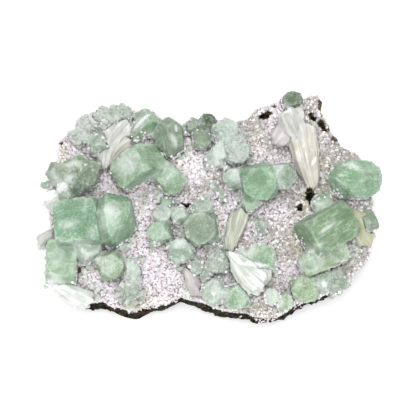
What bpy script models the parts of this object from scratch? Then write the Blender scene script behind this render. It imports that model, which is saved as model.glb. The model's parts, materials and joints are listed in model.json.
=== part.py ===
"""Apophyllite specimen: green blocks and pale stilbite sheaves on a drusy slab of basalt.

The slab lies on its flat back. X runs along its length, Y across it, Z up from the surface it
rests on. Layout values are in millimetres and degrees; MM turns them into metres.
"""
import math
from dataclasses import dataclass

import bmesh
import bpy
from mathutils import Matrix, Vector, noise
from mathutils.geometry import delaunay_2d_cdt

MM = 0.001

# Clearance that touching pieces keep from each other.
GAP = 0.3 * MM

# Layout point that comes to stand at the world origin, the middle of the finished piece's box.
PLAN_CENTRE = (0.15, 0.6)

# The bed is the top of the drusy crust, which everything grows on.
BED_LEVEL = 20.0
BED_ROLL = 2.2
BED_ROLL_SPAN = 30.0
BED_LUMP = 0.9
BED_LUMP_SPAN = 9.0
HILL = (41.0, 41.0)
HILL_RADIUS = 17.0
HILL_HEIGHT = 3.0
RIM_FALL = 3.5
RIM_BAND = 9.0
CRUST_THICKNESS = 4.5
UNDERSIDE_ROLL = 0.8
UNDERSIDE_SPAN = 12.0
CRUST_SPACING = 5.0
UNDERSIDE_SPACING = 9.0
RIM_SPACING = 4.4
RIM_RAGGEDNESS = 1.8
RIM_RAG_SPAN = 5.0

# Rows of points in a sheet are this share of their spacing apart, wander by the next share of
# it, and keep the last share of it clear of the edge.
ROW_SHARE = 0.87
WANDER = 0.3
WANDER_SPAN = 2.3
RIM_CLEARANCE = 0.62

# Bands of the rock's side, from the crust down: share of the height, and how far the side stands
# out (positive) or in (negative) at the front and everywhere else.
ROCK_BANDS = ((0.72, 1.0, -0.8), (0.38, 1.0, -1.8), (0.0, -0.2, -4.2))
ROCK_RAGGEDNESS = 2.4
ROCK_LEDGES = 0.35
ROCK_LUMP_SPAN = 6.0
FRONT_LINE = -30.0
FRONT_BAND = 8.0

# A pit's cutter reaches this share of the crust's thickness each way from its middle, which
# lies the next share of it below the top. Its surface wanders by the last share.
PIT_REACH = 1.5
PIT_SINK = 0.4
PIT_ROUGHNESS = 0.3

# Apophyllite's pyramid faces stand at this angle to the basal plane, over the prism's corners.
PYRAMID_ANGLE = math.radians(60.4)

# A cut mesh has its points joined at the widest of these distances that leaves it closed.
MERGE_DISTANCES = (0.05 * MM, 0.02 * MM, 0.005 * MM)

# Layers of noise are this far apart, so that no two are alike.
LAYER_STEP = 17.3

# Sheaves are lofted through this many rings. Grooves lie at this share of the ridges' reach,
# and the far end is ragged, rounded back at its sides and crowned at its middle. A sheaf is
# thickest part of the way along: its thickness follows a piece of a sine wave, in half waves.
SHEAF_RINGS = 4
GROOVE = 0.84
SPREAD_POWER = 0.8
THINNEST = 0.72
SWELL = 0.28
SWELL_START = 0.15
SWELL_REACH = 0.6
RIDGE_LANE = 3.1
END_RAG = 1.3
END_RAG_SPAN = 1.7
END_ROUNDING = 0.12
END_CROWN = 0.8

# Edge of the crust, clockwise from the upper left, X and Y.
OUTLINE = (
    (-60, 27.5), (-58, 30.5), (-52, 33.5), (-50, 37), (-42, 41), (-29, 41.5), (-24, 39), (-20, 36),
    (-7, 35.5), (3, 35), (16, 36.5), (20, 41.5), (28, 45), (37, 45), (41, 46.5), (45, 47.5),
    (46.5, 44), (46.5, 40), (48.5, 36), (50, 32), (54, 25.5), (61, 22), (65, 15), (66, 5.5),
    (66, -2.5), (67, -9), (64, -20.5), (59, -26.5), (56.5, -31), (48, -34), (39, -37), (34, -39),
    (31, -43), (27, -44.5), (15, -43), (9, -42), (3, -40.5), (-3, -38.5), (-7, -36.5), (-11, -36),
    (-17, -38), (-22, -39.5), (-28, -41.5), (-35, -40), (-42, -38.5), (-50, -37.5), (-58, -33),
    (-62, -25.5), (-63.5, -16), (-62.5, -6), (-64.5, 2.5), (-62, 17), (-61, 22),
)


@dataclass(frozen=True)
class Pit:
    """An open pit in the crust that shows the rock: centre, half widths and turn."""

    x: float
    y: float
    half_length: float
    half_width: float
    turn: float = 0.0


@dataclass(frozen=True)
class Crystal:
    """One apophyllite crystal: a square prism whose corners are cut by pyramid faces.

    x, y and rise place its middle, rise being its height over the bed. lean tips its long axis
    from upright towards bearing, which turns anticlockwise from +X, and spin turns its prism.
    cut is the depth of the corner faces as a share of the side; about 0.6 makes a sharp point.
    broad is the prism's other width as a share of the side.
    """

    x: float
    y: float
    rise: float
    side: float
    length: float
    lean: float = 0.0
    bearing: float = 0.0
    spin: float = 0.0
    cut: float = 0.15
    broad: float = 1.0


@dataclass(frozen=True)
class Sheaf:
    """One stilbite sheaf: blades that spread from a narrow start to a wide, ragged end.

    Both ends are x, y and rise over the bed. bow bends the middle sideways.
    """

    start: tuple
    end: tuple
    waist: float
    spread: float
    thick: float
    ridges: int = 6
    bow: float = 0.0


PITS = (
    Pit(41.0, 4.3, 3.9, 2.0, 95), Pit(36.5, -0.5, 1.8, 1.6, 0), Pit(-9.5, 0, 3.2, 1.5, 0),
    Pit(23.0, 38.6, 2.8, 1.6, 20), Pit(42.5, 37.6, 2.2, 1.4, -50), Pit(47.0, 33.8, 3.4, 1.6, -50),
)

APOPHYLLITE = {
    "apophyllite_left_group": (
        Crystal(-50.8, -9, 5, 17.5, 18, 10, 159, 5, 0.10),
        Crystal(-38.3, -7.6, 5, 15.5, 20.5, 41, 64, 39, 0.33),
        Crystal(-58.2, -23.4, 2, 16, 12, 85, 179, 6, 0.10),
        Crystal(-38.8, -25.1, 4, 10, 11, 24, 308, 19, 0.28),
        Crystal(-48, -18.9, 3, 9, 10, 24, 44, 29, 0.20),
    ),
    "apophyllite_upper_left_group": (
        Crystal(-52.5, 11.6, 4, 14, 16, 31, 12, 28, 0.28),
        Crystal(-55.5, 7.1, 3, 8, 10, 28, 258, 10, 0.25),
        Crystal(-60, 13.3, 2, 8.5, 9.5, 28, 147, 21, 0.30),
        Crystal(-63, 9.3, 1.5, 3, 9, 80, 179, 26, 0.35),
    ),
    "apophyllite_corner_group": (
        Crystal(-44.5, 24.8, 2, 7.5, 8, 26, 120, 21, 0.20),
        Crystal(-50.5, 28.5, 0.5, 7.5, 8, 28, 188, 37, 0.15),
        Crystal(-49, 33, 0.5, 7.5, 8, 22, 90, 10, 0.20),
        Crystal(-42, 35.3, 1, 8.5, 9, 26, 67, 39, 0.20),
        Crystal(-35.5, 36.8, 1, 8.5, 9, 36, 65, 14, 0.25),
    ),
    "apophyllite_top_pair": (
        Crystal(-25.5, 32.9, 1, 9.5, 12, 65, 43, 7, 0.15),
        Crystal(-21.5, 31, 1, 6, 7, 14, 314, 29, 0.20),
    ),
    "apophyllite_main_block": (
        Crystal(-27.6, 14.9, 5, 16.5, 15.5, 42, 199, 29, 0.10, 0.74),
        Crystal(-16.2, 11, 3, 9.5, 13, 45, 314, 43, 0.20),
    ),
    "apophyllite_standing_prism": (
        Crystal(-15.3, 26.8, 4, 11, 17, 42, 99, 0, 0.42),
        Crystal(-11.5, 31.5, 1, 5, 6, 25, 52, 19, 0.30),
    ),
    "apophyllite_dark_trio": (
        Crystal(-0.5, 34.1, 3, 7, 8, 21, 69, 45, 0.25),
        Crystal(-5.5, 32.6, 2.5, 6, 7, 29, 139, 21, 0.20),
        Crystal(-2.5, 27.2, 2, 7.2, 9, 23, 283, 90, 0.30),
    ),
    "apophyllite_pale_group": (
        Crystal(6.4, 29.6, 3, 9, 10, 23, 36, 29, 0.18),
        Crystal(11, 23, 3, 9.8, 11, 29, 294, 9, 0.20),
        Crystal(3, 18.4, 1, 6.5, 7, 38, 192, 22, 0.20),
        Crystal(6, 22.4, 1.5, 7, 8, 15, 214, 41, 0.20),
    ),
    "apophyllite_lying_sliver": (Crystal(4, 5.9, 1, 3.5, 11, 74, 301, 17, 0.40),),
    "apophyllite_centre_right_group": (
        Crystal(19.6, 9, 4, 13.5, 17, 21, 290, 12, 0.22),
        Crystal(28, 11.7, 3, 10, 13, 31, 329, 8, 0.24),
        Crystal(11.5, 10.4, 2, 8, 10, 23, 185, 1, 0.25),
        Crystal(17, 1.6, 1, 7.5, 8, 13, 285, 45, 0.20),
    ),
    "apophyllite_peak_crystal": (Crystal(34.2, 42.2, 1, 7.5, 8.5, 27, 90, 20, 0.20),),
    "apophyllite_right_edge_crystal": (Crystal(58.8, 10.4, 4, 15, 20.5, 75, 357, 5, 0.42),),
    "apophyllite_small_right_crystal": (Crystal(64, -5.1, 2, 5.5, 11, 64, 296, 18, 0.30),),
    "apophyllite_right_group": (
        Crystal(47, -10.2, 5, 15, 20.5, 74, 214, 15, 0.15),
        Crystal(40, -23.3, 3, 8, 9, 24, 245, 41, 0.20),
        Crystal(51.5, -19, 2, 7.5, 9, 14, 314, 19, 0.20),
        Crystal(45.4, -22.6, 2, 8.5, 19, 80, 205, 20, 0.20),
        Crystal(46, -0.7, 2, 8, 9, 47, 108, 21, 0.20),
    ),
    "apophyllite_lower_right_group": (
        Crystal(38.8, -33, 2, 10.5, 11, 24, 245, 11, 0.25),
        Crystal(50.5, -30.3, 1, 8.5, 9, 14, 314, 34, 0.20),
        Crystal(45, -30.6, 2, 8, 9, 32, 90, 15, 0.20),
    ),
    "apophyllite_bottom_pair": (
        Crystal(11, -36.3, 1.5, 9.5, 10.5, 23, 283, 15, 0.28),
        Crystal(3.2, -35, 2, 9, 10, 23, 185, 31, 0.20),
    ),
    "apophyllite_bottom_right_pair": (
        Crystal(30, -38.5, 1, 7, 8, 14, 314, 29, 0.20),
        Crystal(26, -37, 1, 6, 8, 19, 180, 11, 0.20),
    ),
    "apophyllite_under_fan_pair": (
        Crystal(21, -22, 1, 11.5, 9, 20, 82, 10, 0.22),
        Crystal(13.6, -21, 0.5, 7, 8, 28, 188, 32, 0.20),
    ),
    "apophyllite_small_crystal": (Crystal(20.3, -8.6, 1, 5, 8, 47, 94, 20, 0.20),),
    "apophyllite_centre_group": (
        Crystal(-2.3, -9.8, 3, 12.5, 14, 14, 240, 10, 0.20),
        Crystal(-2.5, -1.8, 1, 7.5, 8, 27, 82, 30, 0.20),
        Crystal(-11, -4.6, 2, 7, 8, 29, 139, 21, 0.20),
    ),
    "apophyllite_centre_left_group": (
        Crystal(-18.8, -11.6, 3.5, 8.2, 10, 23, 185, 16, 0.26),
        Crystal(-18, -5.5, 2, 7.5, 8.5, 27, 98, 40, 0.20),
        Crystal(-16.8, 0.6, 1, 5, 6.5, 31, 66, 9, 0.30),
    ),
    "apophyllite_lower_centre_pair": (
        Crystal(-10.5, -18.9, 3, 9.5, 10.5, 14, 226, 21, 0.20),
        Crystal(-5, -24.5, 1, 6, 7, 19, 310, 34, 0.25),
    ),
    "apophyllite_frosted_trio": (
        Crystal(2, -18.2, 1, 6, 6, 24, 44, 19, 0.15),
        Crystal(3.5, -23, 1, 8, 8, 19, 310, 89, 0.15),
        Crystal(0, -25.9, 1, 6, 6, 14, 173, 31, 0.15),
    ),
    "apophyllite_finger_pair": (
        Crystal(-30.2, -28.2, 2, 6.5, 13, 77, 95, 20, 0.30),
        Crystal(-31, -34.1, 1, 8, 8.5, 14, 240, 30, 0.15),
    ),
}

STILBITE = {
    "stilbite_left_fan": (
        Sheaf((-54, 6, 1.5), (-66, 1, 0), 7, 12, 6, 5, 1.0),
    ),
    "stilbite_upper_left_sheaf": (
        Sheaf((-42, 14.6, 1), (-32.5, 36, 3), 6, 14, 7, 7, 3.0),
        Sheaf((-41, 16.5, 1), (-31, 27.2, 2), 5, 9, 5, 5, 1.5),
    ),
    "stilbite_lower_left_sheaf": (
        Sheaf((-61, -30.3, 1), (-45, -38, 1), 8, 14, 6, 6, 0.0),
    ),
    "stilbite_upper_right_complex": (
        Sheaf((38, 27, 2.5), (32.2, 40, 5), 9, 13.5, 8, 7, 0.5),
        Sheaf((34.5, 36, 2.5), (26.8, 25, 1), 8, 10.5, 6, 7, 0.0),
        Sheaf((42, 7.8, 1), (37.4, 34.5, 2.5), 7, 14.5, 7, 7, 0.5),
    ),
    "stilbite_centre_sheaf": (
        Sheaf((8.8, -21.1, 1), (13.5, -0.7, 2), 4, 10.5, 7, 6, 0.5),
    ),
    "stilbite_white_fan": (
        Sheaf((7, -19.2, 2.5), (22.5, -34.5, 4.5), 4, 17, 8, 9, 0.0),
    ),
    "stilbite_right_sheaf": (
        Sheaf((56, -3, 3), (64.5, -15.4, 0.5), 8, 12, 7, 6, 1.0),
    ),
    "stilbite_low_strip": (
        Sheaf((-9, -25.4, 1), (-2.5, -35.6, 0.5), 4, 8, 4, 4, 0.0),
    ),
    "stilbite_left_knob": (
        Sheaf((-61.5, -10, 1), (-67, -16.4, 0), 6, 9, 7, 5, 0.0),
    ),
    "stilbite_small_top_sheaf": (
        Sheaf((-43.5, 32.5, 3.5), (-47.5, 38, 3), 3.5, 7, 5, 4, 0.0),
    ),
    "stilbite_pale_foot": (
        Sheaf((-32, -35.6, 0.5), (-29.5, -40.5, 0), 4, 8, 5, 4, 0.0),
    ),
    "stilbite_bright_flake": (
        Sheaf((5.5, 17.5, 1.5), (8.5, 13.7, 1.5), 2, 4, 3, 3, 0.0),
    ),
}


def smoothstep(low, high, value):
    """Rise smoothly from 0 at low to 1 at high."""
    share = min(1.0, max(0.0, (value - low) / (high - low)))
    return share * share * (3.0 - 2.0 * share)


def ripple(x, y, span, layer):
    """Give smooth noise of about -1 to 1 whose lumps are span millimetres apart."""
    return noise.noise(Vector((x / span, y / span, LAYER_STEP * layer)))


def rim_loop():
    """Sample a smooth closed curve through OUTLINE and make it ragged, in millimetres."""
    count = len(OUTLINE)
    dense = []
    for index in range(count):
        before, start, end, after = (
            Vector(OUTLINE[(index + step) % count]) for step in (-1, 0, 1, 2)
        )
        pieces = max(1, round((end - start).length / RIM_SPACING))
        for piece in range(pieces):
            t = piece / pieces
            dense.append(0.5 * (
                2.0 * start + (end - before) * t
                + (2.0 * before - 5.0 * start + 4.0 * end - after) * t * t
                + (3.0 * start - before - 3.0 * end + after) * t * t * t
            ))
    loop = []
    for index, point in enumerate(dense):
        along = dense[(index + 1) % len(dense)] - dense[index - 1]
        outward = Vector((-along.y, along.x)).normalized()
        shift = RIM_RAGGEDNESS * ripple(point.x, point.y, RIM_RAG_SPAN, 3)
        loop.append(point + outward * shift)
    return loop


def distance_inside(x, y, loop):
    """Give how far a point lies inside the loop; a point outside gets a negative distance."""
    nearest = math.inf
    inside = False
    for index, start in enumerate(loop):
        end = loop[(index + 1) % len(loop)]
        edge = end - start
        offset = Vector((x, y)) - start
        share = min(1.0, max(0.0, offset.dot(edge) / edge.length_squared))
        nearest = min(nearest, (offset - edge * share).length)
        crosses = (start.y > y) != (end.y > y)
        if crosses and x < start.x + edge.x * (y - start.y) / edge.y:
            inside = not inside
    return nearest if inside else -nearest


def bed_height(x, y, loop):
    """Give the height of the crust's top at a layout point, in millimetres."""
    height = BED_LEVEL + BED_ROLL * ripple(x, y, BED_ROLL_SPAN, 1)
    height += BED_LUMP * ripple(x, y, BED_LUMP_SPAN, 2)
    from_hill = math.hypot(x - HILL[0], y - HILL[1])
    height += HILL_HEIGHT * smoothstep(HILL_RADIUS, 0.0, from_hill)
    margin = max(0.0, distance_inside(x, y, loop))
    return height - RIM_FALL * (1.0 - smoothstep(0.0, RIM_BAND, margin))


def underside_height(x, y, loop):
    """Give the height of the crust's underside at a layout point, in millimetres."""
    roll = UNDERSIDE_ROLL * ripple(x, y, UNDERSIDE_SPAN, 4)
    return bed_height(x, y, loop) - CRUST_THICKNESS - roll


def hex_points(spacing, loop):
    """Fill the loop with points in staggered rows that keep clear of its edge."""
    points = []
    reach = max(max(abs(point.x), abs(point.y)) for point in loop)
    rows = int(reach / (spacing * ROW_SHARE)) + 1
    for row in range(-rows, rows + 1):
        for column in range(-rows, rows + 1):
            x = (column + 0.5 * (row % 2)) * spacing
            y = row * spacing * ROW_SHARE
            x += WANDER * spacing * ripple(x, y, WANDER_SPAN, 5)
            y += WANDER * spacing * ripple(x, y, WANDER_SPAN, 6)
            if distance_inside(x, y, loop) > spacing * RIM_CLEARANCE:
                points.append(Vector((x, y)))
    return points


def sheet(bm, spacing, loop, height):
    """Add a triangulated sheet over the loop.

    The first len(loop) vertices that it returns are the loop's own, in order.
    """
    points = list(loop) + hex_points(spacing, loop)
    rim = [(index, (index + 1) % len(loop)) for index in range(len(loop))]
    found = delaunay_2d_cdt(points, rim, [], 1, 1e-6)
    verts = [
        bm.verts.new((point.x * MM, point.y * MM, height(point.x, point.y) * MM))
        for point in found[0]
    ]
    for face in found[2]:
        bm.faces.new([verts[index] for index in face])
    return verts[:len(loop)]


def loop_edges(verts):
    """Give the edges that join a closed row of vertices."""
    pairs = zip(verts, verts[1:] + verts[:1])
    return [edge for first, second in pairs for edge in first.link_edges
            if edge.other_vert(first) is second]


def finish_mesh(bm, name):
    """Turn a bmesh into a mesh with outward faces, and free the bmesh."""
    bmesh.ops.recalc_face_normals(bm, faces=bm.faces)
    mesh = bpy.data.meshes.new(name)
    bm.to_mesh(mesh)
    bm.free()
    return mesh


def add_object(name, mesh, material=None):
    """Link a mesh to the scene as an object of its own."""
    thing = bpy.data.objects.new(name, mesh)
    bpy.context.scene.collection.objects.link(thing)
    if material:
        mesh.materials.append(material)
    return thing


def add_cutter(name, mesh):
    """Link a mesh that only shapes other pieces."""
    cutter = add_object(name, mesh)
    cutter.hide_render = True
    cutter.display_type = "WIRE"
    return cutter


def crust_mesh(loop):
    """Model the drusy crust: a lumpy top, a coarser underside and a thin edge."""
    bm = bmesh.new()
    top = sheet(bm, CRUST_SPACING, loop, lambda x, y: bed_height(x, y, loop))
    under = sheet(bm, UNDERSIDE_SPACING, loop, lambda x, y: underside_height(x, y, loop))
    bmesh.ops.bridge_loops(bm, edges=loop_edges(top) + loop_edges(under))
    return finish_mesh(bm, "drusy_crust")


def rock_mesh(loop):
    """Model the slab of rock under the crust, down to the flat back that it lies on."""
    bm = bmesh.new()
    below = GAP / MM
    ring = sheet(bm, UNDERSIDE_SPACING, loop, lambda x, y: underside_height(x, y, loop) - below)
    crown = [vert.co / MM for vert in ring]
    for share, front, elsewhere in ROCK_BANDS:
        lower = []
        for index, point in enumerate(crown):
            along = crown[(index + 2) % len(crown)] - crown[index - 2]
            outward = Vector((-along.y, along.x, 0.0)).normalized()
            facing = smoothstep(FRONT_LINE, FRONT_LINE - FRONT_BAND, point.y)
            out = elsewhere + (front - elsewhere) * facing
            out += ROCK_RAGGEDNESS * ripple(point.x, point.y, ROCK_LUMP_SPAN, 8.0 + share)
            place = point + outward * out
            ledge = 1.0 + ROCK_LEDGES * ripple(point.x, point.y, ROCK_LUMP_SPAN, 11.0 + share)
            place.z = point.z * share * ledge
            lower.append(bm.verts.new(place * MM))
        for first, second in zip(lower, lower[1:] + lower[:1]):
            bm.edges.new((first, second))
        bmesh.ops.bridge_loops(bm, edges=loop_edges(ring) + loop_edges(lower))
        ring = lower
    bmesh.ops.contextual_create(bm, geom=loop_edges(ring))
    return finish_mesh(bm, "basalt_matrix")


def inflated(mesh, distance):
    """Copy a closed mesh with its surface moved outwards."""
    bm = bmesh.new()
    bm.from_mesh(mesh)
    bm.normal_update()
    moves = [vert.normal * distance * vert.calc_shell_factor() for vert in bm.verts]
    for vert, move in zip(bm.verts, moves):
        vert.co += move
    return finish_mesh(bm, mesh.name + "_envelope")


def pit_cutter(pit, loop):
    """Shape the space of one pit, from above the crust down to the rock."""
    bm = bmesh.new()
    bmesh.ops.create_icosphere(bm, subdivisions=1, radius=1.0)
    for vert in bm.verts:
        wander = noise.noise(vert.co * 2.0 + Vector((pit.x, pit.y, 0.0)))
        vert.co *= 1.0 + PIT_ROUGHNESS * wander
    depth = CRUST_THICKNESS * PIT_REACH
    size = Matrix.Diagonal((pit.half_length * MM, pit.half_width * MM, depth * MM, 1.0))
    height = bed_height(pit.x, pit.y, loop) - CRUST_THICKNESS * PIT_SINK
    place = Matrix.Translation(Vector((pit.x, pit.y, height)) * MM)
    turn = Matrix.Rotation(math.radians(pit.turn), 4, "Z")
    bmesh.ops.transform(bm, matrix=place @ turn @ size, verts=bm.verts)
    return finish_mesh(bm, "pit")


def crystal_mesh(spec, loop, name, grow=0.0):
    """Model one apophyllite crystal in place, with its faces moved outwards by grow."""
    size = Vector((spec.side, spec.side * spec.broad, spec.length)) * MM
    size += Vector((2.0 * grow, 2.0 * grow, 2.0 * grow))
    bm = bmesh.new()
    bmesh.ops.create_cube(bm, size=1.0)
    bmesh.ops.scale(bm, vec=size, verts=bm.verts)
    corner = math.sin(PYRAMID_ANGLE) * spec.side * (1.0 + spec.broad) / math.sqrt(8.0)
    corner += math.cos(PYRAMID_ANGLE) * spec.length / 2.0
    distance = (corner - spec.cut * spec.side) * MM + grow
    for quarter in range(4):
        turn = math.radians(45.0 + 90.0 * quarter)
        for end in (-1.0, 1.0):
            outward = Vector((
                math.sin(PYRAMID_ANGLE) * math.cos(turn),
                math.sin(PYRAMID_ANGLE) * math.sin(turn),
                math.cos(PYRAMID_ANGLE) * end,
            ))
            cut = bmesh.ops.bisect_plane(
                bm, geom=bm.verts[:] + bm.edges[:] + bm.faces[:], plane_co=outward * distance,
                plane_no=outward, clear_outer=True,
            )
            rim = [item for item in cut["geom_cut"] if isinstance(item, bmesh.types.BMEdge)]
            if rim:
                bmesh.ops.contextual_create(bm, geom=rim)
    bearing = math.radians(spec.bearing)
    turn = (
        Matrix.Rotation(bearing, 4, "Z") @ Matrix.Rotation(math.radians(spec.lean), 4, "Y")
        @ Matrix.Rotation(math.radians(spec.spin) - bearing, 4, "Z")
    )
    height = bed_height(spec.x, spec.y, loop) + spec.rise
    place = Matrix.Translation(Vector((spec.x, spec.y, height)) * MM)
    bmesh.ops.transform(bm, matrix=place @ turn, verts=bm.verts)
    return finish_mesh(bm, name)


def sheaf_mesh(spec, loop, name, grow=0.0):
    """Loft one sheaf from its waist to its ragged end, moved outwards by grow."""
    ends = []
    for x, y, rise in (spec.start, spec.end):
        ends.append(Vector((x, y, bed_height(x, y, loop) + rise)) * MM)
    start, end = ends
    ahead = (end - start).normalized()
    sideways = Vector((0.0, 0.0, 1.0)).cross(ahead).normalized()
    upward = ahead.cross(sideways)
    bm = bmesh.new()
    rings = []
    for step in range(SHEAF_RINGS):
        t = step / (SHEAF_RINGS - 1)
        width = (spec.waist + (spec.spread - spec.waist) * t ** SPREAD_POWER) * MM + 2.0 * grow
        swell = math.sin(math.pi * (SWELL_START + SWELL_REACH * t))
        fullness = THINNEST + SWELL * swell
        thickness = spec.thick * fullness * MM + 2.0 * grow
        centre = start.lerp(end, t) + sideways * spec.bow * MM * 4.0 * t * (1.0 - t)
        centre += ahead * grow * (2.0 * t - 1.0)
        ring = bmesh.ops.create_circle(bm, radius=1.0, segments=2 * spec.ridges)["verts"]
        for index, vert in enumerate(ring):
            across, over = vert.co.x, vert.co.y
            reach = GROOVE if index % 2 else 1.0
            lane = index * RIDGE_LANE + spec.start[0]
            further = END_RAG * MM * t * ripple(lane, spec.end[1], END_RAG_SPAN, 7)
            further -= END_ROUNDING * (end - start).length * t * abs(across)
            vert.co = (
                centre + sideways * across * reach * width / 2.0
                + upward * over * reach * thickness / 2.0 + ahead * further
            )
        if rings:
            bmesh.ops.bridge_loops(bm, edges=loop_edges(rings[-1]) + loop_edges(ring))
        rings.append(ring)
    bmesh.ops.contextual_create(bm, geom=loop_edges(rings[0]))
    tip = bmesh.ops.contextual_create(bm, geom=loop_edges(rings[-1]))
    bmesh.ops.poke(bm, faces=tip["faces"], offset=END_CROWN * MM)
    return finish_mesh(bm, name)


def bounds(mesh):
    """Give a mesh's lowest and highest corners."""
    low = Vector([min(vert.co[axis] for vert in mesh.vertices) for axis in range(3)])
    high = Vector([max(vert.co[axis] for vert in mesh.vertices) for axis in range(3)])
    return low, high


def near(first, second):
    """Tell whether the boxes of two meshes meet."""
    low_a, high_a = bounds(first)
    low_b, high_b = bounds(second)
    return all(low_a[axis] < high_b[axis] and low_b[axis] < high_a[axis] for axis in range(3))


def combine(thing, other, operation):
    """Add an exact Boolean of another mesh to an object."""
    modifier = thing.modifiers.new(operation.lower(), "BOOLEAN")
    modifier.operation = operation
    modifier.solver = "EXACT"
    modifier.object = other


def keep_largest_body(bm):
    """Delete every loose body of a bmesh but the one with the largest surface."""
    left = set(bm.faces)
    bodies = []
    while left:
        body = {left.pop()}
        front = list(body)
        while front:
            face = front.pop()
            for edge in face.edges:
                for other in edge.link_faces:
                    if other in left:
                        left.discard(other)
                        body.add(other)
                        front.append(other)
        bodies.append(body)
    bodies.sort(key=lambda body: sum(face.calc_area() for face in body), reverse=True)
    for body in bodies[1:]:
        bmesh.ops.delete(bm, geom=list(body), context="FACES")


def tidied(mesh, merge):
    """Copy a cut mesh as triangles, with points closer than merge joined, main body only."""
    bm = bmesh.new()
    bm.from_mesh(mesh)
    if merge:
        bmesh.ops.remove_doubles(bm, verts=bm.verts, dist=merge)
        bmesh.ops.dissolve_degenerate(bm, dist=merge, edges=bm.edges)
    keep_largest_body(bm)
    bmesh.ops.triangulate(bm, faces=bm.faces)
    return bm


def settle(thing):
    """Apply an object's Booleans, keep its main body and join the points that nearly meet."""
    bpy.context.view_layer.update()
    graph = bpy.context.evaluated_depsgraph_get()
    solved = bpy.data.meshes.new_from_object(thing.evaluated_get(graph))
    thing.modifiers.clear()
    for merge in MERGE_DISTANCES:
        bm = tidied(solved, merge)
        if all(edge.is_manifold for edge in bm.edges):
            break
        bm.free()
    else:
        bm = tidied(solved, 0.0)
    materials = list(thing.data.materials)
    thing.data = finish_mesh(bm, thing.name)
    for material in materials:
        thing.data.materials.append(material)


def grow_group(name, meshes, blockers, material):
    """Join a group's meshes into one solid and cut away what already stands there."""
    thing = add_object(name, meshes[0], material)
    helpers = []
    for mesh in meshes[1:]:
        helpers.append(add_cutter(name + "_member", mesh))
        combine(thing, helpers[-1], "UNION")
    for blocker in blockers:
        if any(near(mesh, blocker) for mesh in meshes):
            helpers.append(add_cutter(name + "_cut", blocker))
            combine(thing, helpers[-1], "DIFFERENCE")
    settle(thing)
    for helper in helpers:
        bpy.data.objects.remove(helper)
    return thing


def make_finish(name, colour, roughness, transmission=0.0):
    """Make a Principled material in the mineral's colour."""
    material = bpy.data.materials.new(name)
    material.use_nodes = True
    shader = material.node_tree.nodes["Principled BSDF"]
    shader.inputs["Base Color"].default_value = (*colour, 1.0)
    shader.inputs["Roughness"].default_value = roughness
    shader.inputs["Metallic"].default_value = 0.0
    shader.inputs["Transmission Weight"].default_value = transmission
    return material


def set_on(parent, thing):
    """Give an object its origin at the middle of its foot, and hang it on the parent."""
    low, high = bounds(thing.data)
    foot = Vector(((low.x + high.x) / 2.0, (low.y + high.y) / 2.0, low.z))
    thing.data.transform(Matrix.Translation(-foot))
    thing.location = foot
    thing.parent = parent


def main():
    """Model every piece of the specimen."""
    for old in list(bpy.data.objects):
        bpy.data.objects.remove(old)
    green = make_finish("apophyllite_green", (0.36, 0.62, 0.42), 0.15, 0.6)
    white = make_finish("stilbite_white", (0.75, 0.73, 0.68), 0.35)
    lilac = make_finish("druse_lilac", (0.68, 0.62, 0.66), 0.6)
    dark = make_finish("basalt_dark", (0.035, 0.038, 0.032), 0.85)

    loop = rim_loop()
    rock = add_object("basalt_matrix", rock_mesh(loop), dark)
    crust = add_object("drusy_crust", crust_mesh(loop), lilac)
    envelopes = [inflated(crust.data, GAP), inflated(rock.data, GAP)]
    for pit in PITS:
        combine(crust, add_cutter("pit", pit_cutter(pit, loop)), "DIFFERENCE")
    settle(crust)
    for helper in [thing for thing in bpy.data.objects if thing.name.startswith("pit")]:
        bpy.data.objects.remove(helper)

    pieces = [rock, crust]
    standing = []
    for name, group in APOPHYLLITE.items():
        meshes = [crystal_mesh(spec, loop, name) for spec in group]
        pieces.append(grow_group(name, meshes, envelopes + standing, green))
        standing += [crystal_mesh(spec, loop, name, GAP) for spec in group]
    for name, group in STILBITE.items():
        meshes = [sheaf_mesh(spec, loop, name) for spec in group]
        pieces.append(grow_group(name, meshes, envelopes + standing, white))
        standing += [sheaf_mesh(spec, loop, name, GAP) for spec in group]

    specimen = bpy.data.objects.new("specimen", None)
    bpy.context.scene.collection.objects.link(specimen)
    for piece in pieces:
        set_on(specimen, piece)
    specimen.location = (-PLAN_CENTRE[0] * MM, -PLAN_CENTRE[1] * MM, 0.0)


main()
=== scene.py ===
"""Looks of an apophyllite specimen: green blocks and pearly sheaves on a sparkling crust.

Places are in millimetres in the row frame, as the solids have them: X along the slab, Y across
it, Z up from the flat back that it lies on. MM turns them into metres.
"""

import json
import logging
import math
import random
from dataclasses import dataclass
from enum import Enum
from typing import Any, Callable, Iterable, Union

import bmesh
import bpy
from mathutils import Matrix, Vector, noise
from mathutils.bvhtree import BVHTree

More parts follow.
